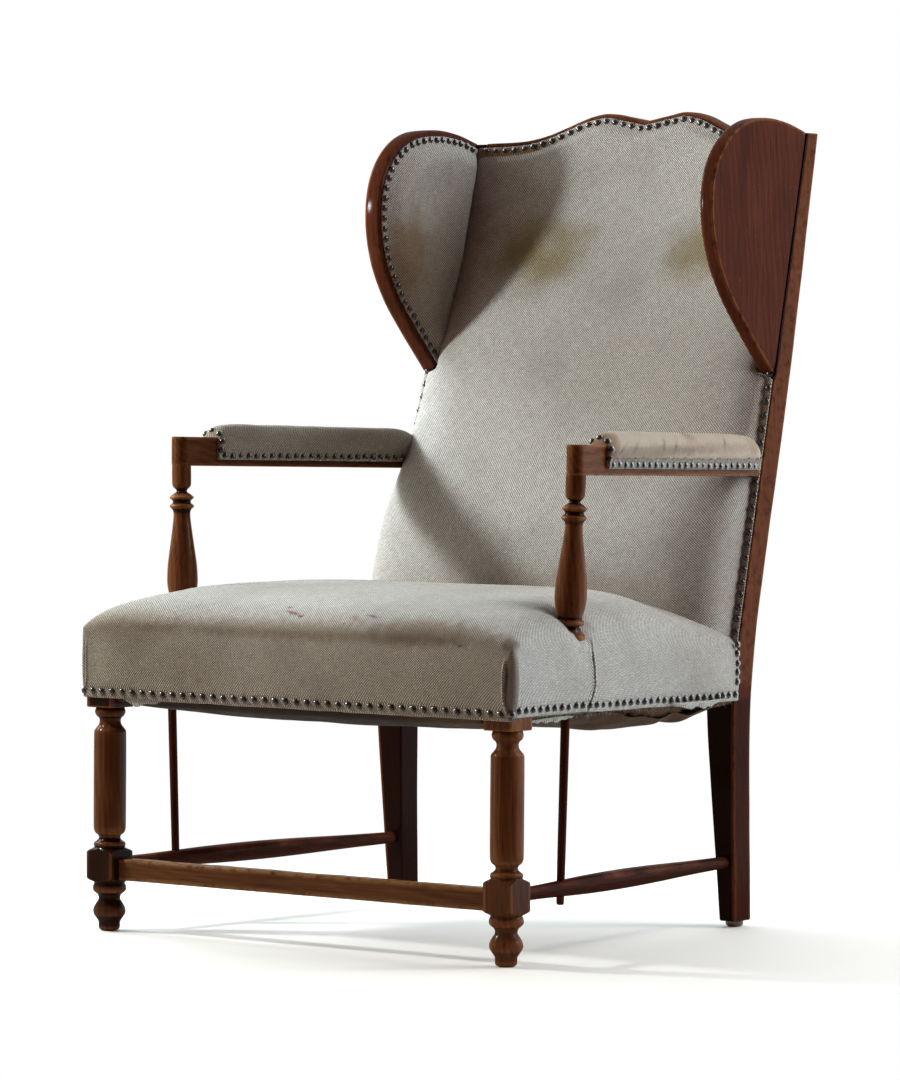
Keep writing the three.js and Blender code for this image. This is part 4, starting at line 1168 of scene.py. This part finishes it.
# Dark lines down the outside of the bare pad, where it creases, partly dark streaks and partly painted
# crease shade: y, height and tilt.
PAD_CREASES = [
    (-70, 653, 0.9), (-36, 654, 0.8), (70, 655, 0.5), (40, 658, 0.3), (110, 674, -0.8), (205, 658, 0.4),
]


def pad_ring(fullness):
    """Half-round section of an arm pad, from its lower right edge over the top to its lower left edge."""
    x, z, at = along_curve(PAD_SECTION, 18)
    z = np.where(z > 16, 16 + (z - 16) * fullness, z)
    x = np.where(z > 10, x * (0.55 + 0.45 * fullness), x)
    around = np.concatenate([at, 2 * at[-1] - at[-2::-1]]) - at[-1]
    return np.concatenate([x, -x[-2::-1]]), np.concatenate([z, z[-2::-1]]), around


def close_end(ring):
    """The end of a pad, drawn in towards its lower middle."""
    middle = ring.mean(0)
    middle[2] = ring[:, 2].min() + 6
    return middle + (ring - middle) * 0.15


def arm_tints(side, points):
    tints = stained(points, ARM_STAINS[side])
    if side == "left":
        # Painted shade: the left pad is darkened all over.
        tints[:, :3] *= (0.78, 0.70, 0.60)
        return tints
    x, y, z = points.T
    # Dark lines along the creases: partly dark streaks, partly painted crease shade.
    for crease_y, crease_z, tilt in PAD_CREASES:
        along = (y - crease_y) - (z - crease_z) * tilt * 1.6
        line = bell(along / 2.6) * bell((z - crease_z) / 7) * (x > arm_middle(y))
        tints[:, :3] *= 1 - 0.62 * line[:, None]
    return tints


def arm_cover(side, material, slot):
    rows, cloth = [], []
    for part in np.concatenate([np.linspace(*stretch) for stretch in PAD_STRETCHES]):
        y = PAD_FRONT + (PAD_REAR - PAD_FRONT) * part
        x, z, around = pad_ring(float(curve_at(PAD_FULLNESS, part)))
        z = z + 0.7 * ripple(stack(x * 3, y, z), 36, 30 + (side == "left")) * smooth((z - 14) / 14)
        rows.append(stack(arm_middle(y) + x, y, arm_under(y) + PAD_LIFT + z))
        cloth.append(stack(around, y, 0))
    rows = [close_end(rows[0])] + rows + [close_end(rows[-1])]
    cloth = [cloth[0] * (0.3, 1, 1)] + cloth + [cloth[-1] * (0.3, 1, 1)]
    points, faces = on_side(side, grid(rows))
    cloth = np.concatenate(cloth)
    piece = make_cloth(f"arm_cover_cloth_{side}", (points, faces), cloth, arm_tints(side, points),
                       [f"arm_cover_{side}", f"arm_stuffing_{side}"], material, slot, 1.6)


def arm_rag():
    """What is left of the right arm's cover below its bare undercloth: torn strips held by the nails."""
    rows, cloth = [], []
    section_x, section_z = np.array(PAD_SECTION).T
    for y in np.linspace(PAD_FRONT - 1.5, PAD_REAR - 2, 260):
        torn = 14.0 + 3.2 * wander(y * 0.11, 3, 1) + 2.4 * wander(y * 0.5, 1, 7)
        heights = np.array([1.0, 1.4, 3, 6, 9, torn - 1, torn])
        lift = np.array([0.2, 1.2, 1.7, 1.8, 1.6, 1.9, 2.3]) + 0.5 * wander(y * 0.3, 9, 2)
        wide = np.interp(heights, section_z, section_x)
        rows.append(stack(arm_middle(y) + wide + lift, y, arm_under(y) + PAD_LIFT + heights))
        cloth.append(stack(heights, y, 0))
    points, faces = grid(rows)
    across_arm = points.copy()
    across_arm[:, 0] = 2 * arm_middle(points[:, 1]) - points[:, 0]
    tints = stained(points)
    # Darker than the cover cloth: partly the torn cover's own greyer tone, partly painted shade under the
    # pad's overhang.
    tints[:, :3] *= (0.60, 0.56, 0.50)
    for name, shape in (("outer", (points, faces)), ("inner", (across_arm, turned_over(faces)))):
        piece = make_cloth(f"arm_cover_rest_{name}_right", shape, np.concatenate(cloth), tints, thick=1.0)


# ---- below the seat and behind the back ------------------------------------------------------
SAG = 23.0
RAIL_UNDERSIDE = 309


def base_cloth():
    """The dust cloth under the seat: sunk with the webbing, and torn loose along the right side."""
    rows, cloth = [], []
    for y in np.concatenate([[-325, -322, -318, -313], np.linspace(-307, 262, 82)]):
        half = seat_half(y) - 5
        x = np.linspace(-1, 1, 100) * half
        to_edge = np.minimum(half - np.abs(x), y + 325)
        sag = SAG * np.maximum(0, 1 - (x / 335) ** 4) * np.maximum(0, 1 - ((y + 16) / 305) ** 4)
        z = RAIL_UNDERSIDE - sag + 5.5 * (1 - smooth(to_edge / 16))
        flat = stack(x, y, 0)
        loose = smooth((x - 150) / 160) * smooth((y + 120) / 90) * smooth((215 - y) / 90)
        z = z - loose * (3 + 7 * (1 + ripple(flat, 48, 40))) + 1.6 * ripple(flat, 60, 41)
        rows.append(stack(x, y, z))
        cloth.append(flat)
    points, faces = grid(rows)
    cut = cloth_holes(points)
    faces = [f for f in faces if not cut[list(f)].any()]
    tints = stained(points, BASE_STAINS)
    tints[:, :3] *= 1 + 2.0 * smooth((points[:, :1] - 140) / 130)
    piece = make_cloth("base_cloth_sagging", (points, faces), np.concatenate(cloth), tints, ["base_cloth"],
                       DUST_CLOTH, "base_cloth", 0.9)


def cloth_holes(points):
    """True where the dust cloth is torn away: round the legs and posts, and a ragged tear on the right."""
    x, y = points[:, 0], points[:, 1]
    legs = (np.abs(x) > LEG_X - BLOCK - 2) & (y < LEG_Y + BLOCK + 2)
    posts = (np.abs(x) > 256) & (y > 248)
    tear = np.hypot((x - 255) / 22, (y - 60) / 66) + 0.35 * ripple(points * (1, 1, 0), 22, 43) < 1
    return legs | posts | tear


# Torn strips below the seat: name, first and last point, drop, material, seed, slot and brightness.
RAGS = [
    ("torn_flap_right", (326, -40, 313), (318, 150, 312), 17, DUST_CLOTH, 1.0, "base_cloth", 4.5),
    ("hem_rag_right", (345, -300, 317), (336, -130, 316), 13, BACK_CLOTH, 3.0, "cover_cloth", 1.1),
    ("hem_rag_rear", (336, 60, 317), (326, 205, 316), 13, BACK_CLOTH, 4.0, "cover_cloth", 1.0),
    ("hem_rag_left", (-285, -325, 316), (-215, -325, 316), 13, BACK_CLOTH, 2.0, "cover_cloth", 0.8),
]


def hanging_rag(name, start, end, drop, material, seed, slot, brightness):
    """A torn strip that hangs from the rail between two points, deepest in the middle."""
    start, end = np.array(start, float), np.array(end, float)
    length = np.linalg.norm(end - start)
    down = np.linspace(0, 1, 8)
    rows, cloth = [], []
    for part in np.linspace(0, 1, 60):
        x, y, z = start + (end - start) * part
        deep = drop * math.sin(math.pi * part) ** 0.7 * (0.8 + 0.45 * wander(part * length / 16, seed, 0.3))
        wave = 1.5 * np.sin(part * length / 9 + seed) * down
        rows.append(stack(x - 3 * down**2 * drop / 8 + wave, y, z - deep * down))
        cloth.append(stack(part * length, deep * down, 0))
    shape = grid(rows)
    tints = stained(shape[0])
    tints[:, :3] *= brightness
    piece = make_cloth(name, shape, np.concatenate(cloth), tints, (), material, slot, 0.8)


def outside_back():
    rows = []
    for z in np.linspace(330, 1068, 90):
        half = post_outer(z) - 4
        x = np.linspace(-1, 1, 80) * half
        edge = smooth((half - np.abs(x)) / 30)
        lift = 0.9 + edge * (0.9 + 0.8 * ripple(stack(x, z, 0), 80, 50))
        rows.append(stack(x, back_plane(x, z) + (post_back(z) - post_front(z)) + lift, z))
    points, faces = grid(rows)
    piece = make_cloth("outside_back_cloth", (points, turned_over(faces)), points[:, (0, 2, 1)] * (1, 1, 0),
                       stained(points, OUTSIDE_STAINS), ["outside_back_cover"], thick=1.2)


# ---- nails and threads ----------------------------------------------------------------------
NAIL_RADIUS = 4.9
NAIL_RISE = 3.7
NAIL_DOME = [(1.0, -0.35), (1.0, 0.0), (0.95, 0.30), (0.82, 0.58), (0.60, 0.82), (0.30, 0.96)]
NAIL_SIDES = 12
# Distances between nails, in millimetres.
SEAT_STEP, CREST_STEP, WING_STEP, ARM_STEP = 17.4, 15.2, 14.6, 15.7
BACK_LOW_STEP, BACK_HIGH_STEP = 16.6, 18.8


def nails(name, places):
    """Domed nail heads, each given as a point on the cloth and the direction that it faces."""
    domes = []
    for place, facing in places:
        facing = np.array(facing, float) / np.linalg.norm(facing)
        facing += RANDOM.normal(0, 0.07, 3)
        facing /= np.linalg.norm(facing)
        other = (0.0, 0.0, 1.0) if abs(facing[2]) < 0.9 else (1.0, 0.0, 0.0)
        circle = circle_round(facing, other, NAIL_SIDES)
        centre = np.array(place, float) + RANDOM.normal(0, 0.35, 3)
        size = NAIL_RADIUS * RANDOM.uniform(0.95, 1.05)
        rings = [centre + circle * size * wide + facing * NAIL_RISE * high for wide, high in NAIL_DOME]
        points, faces = loft(rings, caps=(True, False))
        last, tip = len(points) - NAIL_SIDES, len(points)
        faces += [(last + i, last + (i + 1) % NAIL_SIDES, tip) for i in range(NAIL_SIDES)]
        domes.append((np.vstack([points, centre + facing * NAIL_RISE]), faces))
    make(name, join(domes), BRONZE, "nail_bronze", (), 60)


def sided_nails(name, side, placed):
    nails(f"{name}_{side}", [[place_on_side(side, vector) for vector in pair] for pair in placed])


def spaced(path, step):
    """Points along a path at about equal steps."""
    length = path_lengths(path)
    at = np.linspace(0, length[-1], max(1, round(length[-1] / step)) + 1)
    return stack(*(np.interp(at, length, column) for column in path.T))


def seat_nails(outline, top, bottom):
    x, y, nx, ny = outline.T
    lower = bottom + SEAT_NAIL_RISE
    out = wall_bulge(outline, (lower - bottom) / (top - bottom)) - 0.4
    path = stack(x + nx * out, y + ny * out, lower)
    keep = y < SEAT_REAR - 5
    first = int(np.argmax(~keep & np.roll(keep, -1)))
    order = [i for i in np.roll(np.arange(len(x)), -first) if keep[i]]
    placed = []
    for point in spaced(path[order], SEAT_STEP):
        nearest = np.argmin(np.hypot(path[:, 0] - point[0], path[:, 1] - point[1]))
        placed.append((point, (nx[nearest], ny[nearest], 0.0)))
    for sign in (1, -1):
        for z in np.arange(337, 392, 12.5):
            placed.append(((sign * (seat_half(SEAT_REAR) + 1.2), SEAT_REAR - 5, z), (sign, 0.2, 0)))
    nails("seat_nails", placed)


def back_nails(side):
    placed = []
    z = 404.0
    while z < WING_TIP + 2:
        x = post_outer(z) - 7.0
        placed.append(((x, back_plane(x, z) - HEM - 0.4, z), (0.3, -1, 0.25)))
        z += BACK_LOW_STEP if z < 610 else BACK_HIGH_STEP
    sided_nails("back_nails", side, placed)


def crest_nails():
    x = np.linspace(-252, 252, 200)
    z = crest_top(x) - 11
    line = spaced(stack(x, back_plane(x, z) - HEM - 0.3, z), CREST_STEP)
    nails("crest_nails", [(point, (0, -1, 0.22)) for point in line])


def wing_nails(side):
    y, z = wing_outline(side, WING_RIM + 4.6, 120, -4.0)
    y, z = y[3:118], z[3:118]
    line = spaced(stack(post_outer(z) - WING_THICK - 2.6, y, z), WING_STEP)
    sided_nails("wing_nails", side, [(p, (-1, 0, 0)) for p in line if p[1] < back_plane(255, p[2]) - 8])


def arm_nails(side):
    placed = []
    for edge in (1, -1):
        for y in np.arange(PAD_FRONT + 9, PAD_REAR - 3, ARM_STEP):
            place = (arm_middle(y) + edge * 17.0, y, arm_under(y) + PAD_LIFT + 5.4)
            placed.append((place, (edge, 0, 0.05)))
    y = PAD_FRONT + 3.5
    x, z, around = pad_ring(0.76)
    for at in np.arange(-45, 46, 15.0):
        across, up = np.interp(at, around, x), np.interp(at, around, z)
        place = (arm_middle(y) + across * 1.04, y - 1.0, arm_under(y) + PAD_LIFT + up + 0.6)
        placed.append((place, (across * 1.3, -12, max(up - 22, 0))))
    sided_nails("arm_nails", side, placed)


def outside_nails():
    placed = []
    facing = (0, 1, -0.2)
    for z in np.arange(342, 1062, 24.0):
        for sign in (1, -1):
            placed.append(((sign * (post_outer(z) - 9), post_back(z) + 2.0, z), facing))
    for x in np.arange(-270, 271, 24.5):
        for z, narrowed in ((338, 1.0), (1060, 0.98)):
            lift = 2.2 + post_back(z) - post_front(z)
            placed.append(((x * narrowed, back_plane(x, z) + lift, z), facing))
    nails("outside_back_nails", placed)


THREAD_WIDTH = 0.28
THREAD_SECTION = np.array([(math.cos(a), math.sin(a), 0.4 * math.sin(a)) for a in (0, 2.1, 4.2)])


def frays(name, starts, directions, length):
    """Short loose threads, each a thin bent tube."""
    threads = []
    for start, direction in zip(np.asarray(starts, float), np.asarray(directions, float)):
        reach = length * RANDOM.uniform(0.4, 1.3)
        heading = direction + RANDOM.normal(0, 0.35, 3)
        heading /= np.linalg.norm(heading)
        bend = RANDOM.normal(0, 0.5, 3)
        rings = []
        for part in (0.0, 0.33, 0.66, 1.0):
            centre = start + heading * reach * part + bend * reach * part**2
            rings.append(centre + THREAD_SECTION * THREAD_WIDTH * (1 - 0.6 * part))
        threads.append(loft(rings))
    make(name, join(threads), THREADS, "cover_cloth", (), 180)


def all_frays(outline, bottom):
    x, y, nx, _ = outline.T
    starts, directions = [], []
    for i in np.flatnonzero((np.abs(nx) > 0.8) & (y < 235)):
        for _ in range(4):
            inward = RANDOM.uniform(1, 9)
            jitter = RANDOM.uniform(-2, 2)
            starts.append((x[i] - nx[i] * inward, y[i] + jitter, bottom[i] + 1.0))
            directions.append((nx[i] * 0.1, RANDOM.normal(0, 0.7), -0.8))
    frays("seat_hem_threads", starts, directions, 5.0)
    for side, sign in zip(SIDES, (1, -1)):
        slit_x = sign * (seat_half(SLIT_Y) + 3.5)
        starts = [(slit_x, SLIT_Y + RANDOM.normal(0, 0.9), z) for z in np.linspace(318, 402, 90)]
        directions = [(sign * 0.8, RANDOM.normal(0, 0.8), 0.2) for _ in starts]
        frays(f"slit_threads_{side}", starts, directions, 2.6)
    y_rag = np.linspace(PAD_FRONT + 3, PAD_REAR - 8, 240)
    starts = stack(arm_middle(y_rag) + 18.6, y_rag, arm_under(y_rag) + PAD_LIFT + 14.5)
    frays("arm_rag_threads_right", starts, [(0.5, RANDOM.normal(0, 0.6), 0.7) for _ in starts], 4.0)


# ---- inner pieces that stay as they are in the frame -----------------------------------------
INNER_LOOKS = {"rail_wood": RAW_WOOD, "jute": HESSIAN, "stuffing": STUFFING, "spring_steel": STEEL}


def dress_inner_nodes():
    """Node materials for the frame's own inner pieces, with the attributes that they read."""
    slots = {row["node"]: row["material_slot"] for row in frame["record"]["subparts"]}
    for name, piece in frame["nodes"].items():
        material = INNER_LOOKS.get(slots.get(name))
        if material is None:
            continue
        place = np.array([v.co for v in piece.data.vertices])
        for key, values in (("grain", place), ("cloth", place), ("stain", np.ones((len(place), 4)))):
            add_attribute(piece.data, key, values)
        piece.data.materials.clear()
        piece.data.materials.append(material)


# ---- camera, light and floor -----------------------------------------------------------------
CAMERA_PLACE = (4373.65, -5829.24, 787.22)
CAMERA_AZIMUTH, CAMERA_PITCH, CAMERA_ROLL = 36.804, 2.0565, 0.3875
CAMERA_FOCAL = 180.53  # for a sensor 36 mm on its long side


def camera():
    data = bpy.data.cameras.new("camera")
    data.lens, data.sensor_width = CAMERA_FOCAL, 36.0
    data.clip_end = 100.0
    item = add_to_scene("camera", data)
    turn, pitch, roll = (math.radians(angle) for angle in (CAMERA_AZIMUTH, CAMERA_PITCH, CAMERA_ROLL))
    ahead = Vector((-math.sin(turn) * math.cos(pitch), math.cos(turn) * math.cos(pitch), -math.sin(pitch)))
    right = Vector((math.cos(turn), math.sin(turn), 0.0))
    up = right.cross(ahead)
    across = math.cos(roll) * right + math.sin(roll) * up
    upward = -math.sin(roll) * right + math.cos(roll) * up
    axes = Matrix((across, upward, -ahead)).transposed().to_4x4()
    item.matrix_world = Matrix.Translation(to_frame([CAMERA_PLACE])[0]) @ axes
    bpy.context.scene.camera = item


# Lamps: name, place, target, width in metres, power and colour.
LAMPS = [
    ("window_left", (-1.04, -0.84, 1.10), (0.0, 0.1, 0.80), 0.14, 22.5, (0.92, 0.98, 1.0)),
    ("window_left_high", (-2.4, -0.1, 1.9), (0.0, 0.0, 0.60), 1.2, 56.0, (0.88, 0.95, 1.0)),
    ("window_right", (2.1, 1.35, 1.30), (0.0, 0.0, 0.50), 0.8, 20.0, (1.0, 0.80, 0.66)),
    ("window_right_high", (1.8, 1.2, 2.2), (0.0, 0.0, 0.50), 0.8, 25.0, (1.0, 0.90, 0.80)),
]


def area_light(name, place, target, size, power, colour):
    data = bpy.data.lights.new(name, "AREA")
    data.shape, data.size = "DISK", size
    data.energy, data.color = power, colour
    item = add_to_scene(name, data)
    item.location = place
    item.rotation_euler = (Vector(target) - Vector(place)).to_track_quat("-Z", "Y").to_euler()
    item.visible_camera = False


# Light from all round, by side: the direction that it comes from, and its colour and strength.
ROOM_LIGHT = [((0.0, -1.0, 0.0), (0.20, 0.07, 0.05)), ((-1.0, 0.0, 0.0), (1.38, 1.40, 1.12)),
              ((0.0, 1.0, 0.0), (2.6, 3.2, 3.6))]


def world():
    """White to the eye. As a source of light it is strongest behind the chair, and warm on its left."""
    made = bpy.data.worlds.new("studio")
    made.use_nodes = True
    s = Nodes(made.node_tree)
    seen = s.tree.nodes["Background"]
    seen.inputs["Color"].default_value = (1, 1, 1, 1)
    total = (0.0, 0.0, 0.0)
    for side, colour in ROOM_LIGHT:
        share = s.math("MAXIMUM", s.vector("DOT_PRODUCT", s.put("TexCoord"), side, 1), 0.0)
        lobe = s.put("VectorMath", 0, {0: colour, 3: share}, operation="SCALE")
        total = s.vector("ADD", lobe, total)
    cast = s.put("Background", 0, {"Color": total})
    mixed = s.put("MixShader", 0, {0: s.put("LightPath"), 1: cast, 2: seen.outputs[0]})
    s.tree.links.new(mixed, s.tree.nodes["World Output"].inputs["Surface"])
    bpy.context.scene.world = made


FLOOR_SIZE = 8.0
FLOOR_CLEAR, FLOOR_GONE = 0.50, 1.15


def floor():
    """A pale floor that fades into the background away from the chair."""
    mesh = bpy.data.meshes.new("floor")
    corners = [(x * FLOOR_SIZE, y * FLOOR_SIZE, 0) for x, y in ((-1, -1), (1, -1), (1, 1), (-1, 1))]
    mesh.from_pydata(corners, [], [(0, 1, 2, 3)])
    piece = add_to_scene("floor", mesh)
    s = Surface("pale_floor")
    place = s.put("TexCoord", "Object")
    tone = s.mix(s.noise(place, 3.0), (0.73, 0.69, 0.655), (0.77, 0.73, 0.695))
    s.finish(tone, 0.8)
    fade = s.range(s.length(place), FLOOR_CLEAR, FLOOR_GONE)
    clear = s.put("BsdfTransparent")
    mixed = s.put("MixShader", 0, {0: fade, 1: s.shader.outputs[0], 2: clear})
    s.tree.links.new(mixed, s.tree.nodes["Material Output"].inputs["Surface"])
    mesh.materials.append(s.material)


# ---- the object ------------------------------------------------------------------------------
camera()
SIDED_PIECES = (front_leg, rear_post, rear_glide, side_stretcher, lower_spindle, arm_post, arm_rail,
                wing_board)
for hand in SIDES:
    for build in SIDED_PIECES:
        build(hand)
front_stretcher()
crest_rail()
seat_shape = seat_cover()
back_cover()
for hand in SIDES:
    wing_cover(hand)
arm_cover("right", MUSLIN, "muslin")
arm_cover("left", BACK_CLOTH, "cover_cloth")
arm_rag()
base_cloth()
for rag in RAGS:
    hanging_rag(*rag)
outside_back()
seat_nails(*seat_shape)
for hand in SIDES:
    back_nails(hand)
crest_nails()
for hand in SIDES:
    wing_nails(hand)
    arm_nails(hand)
outside_nails()
all_frays(seat_shape[0], seat_shape[2])
dress_inner_nodes()
for lamp in LAMPS:
    area_light(*lamp)
world()
floor()
bpy.context.scene.view_settings.view_transform = "Standard"
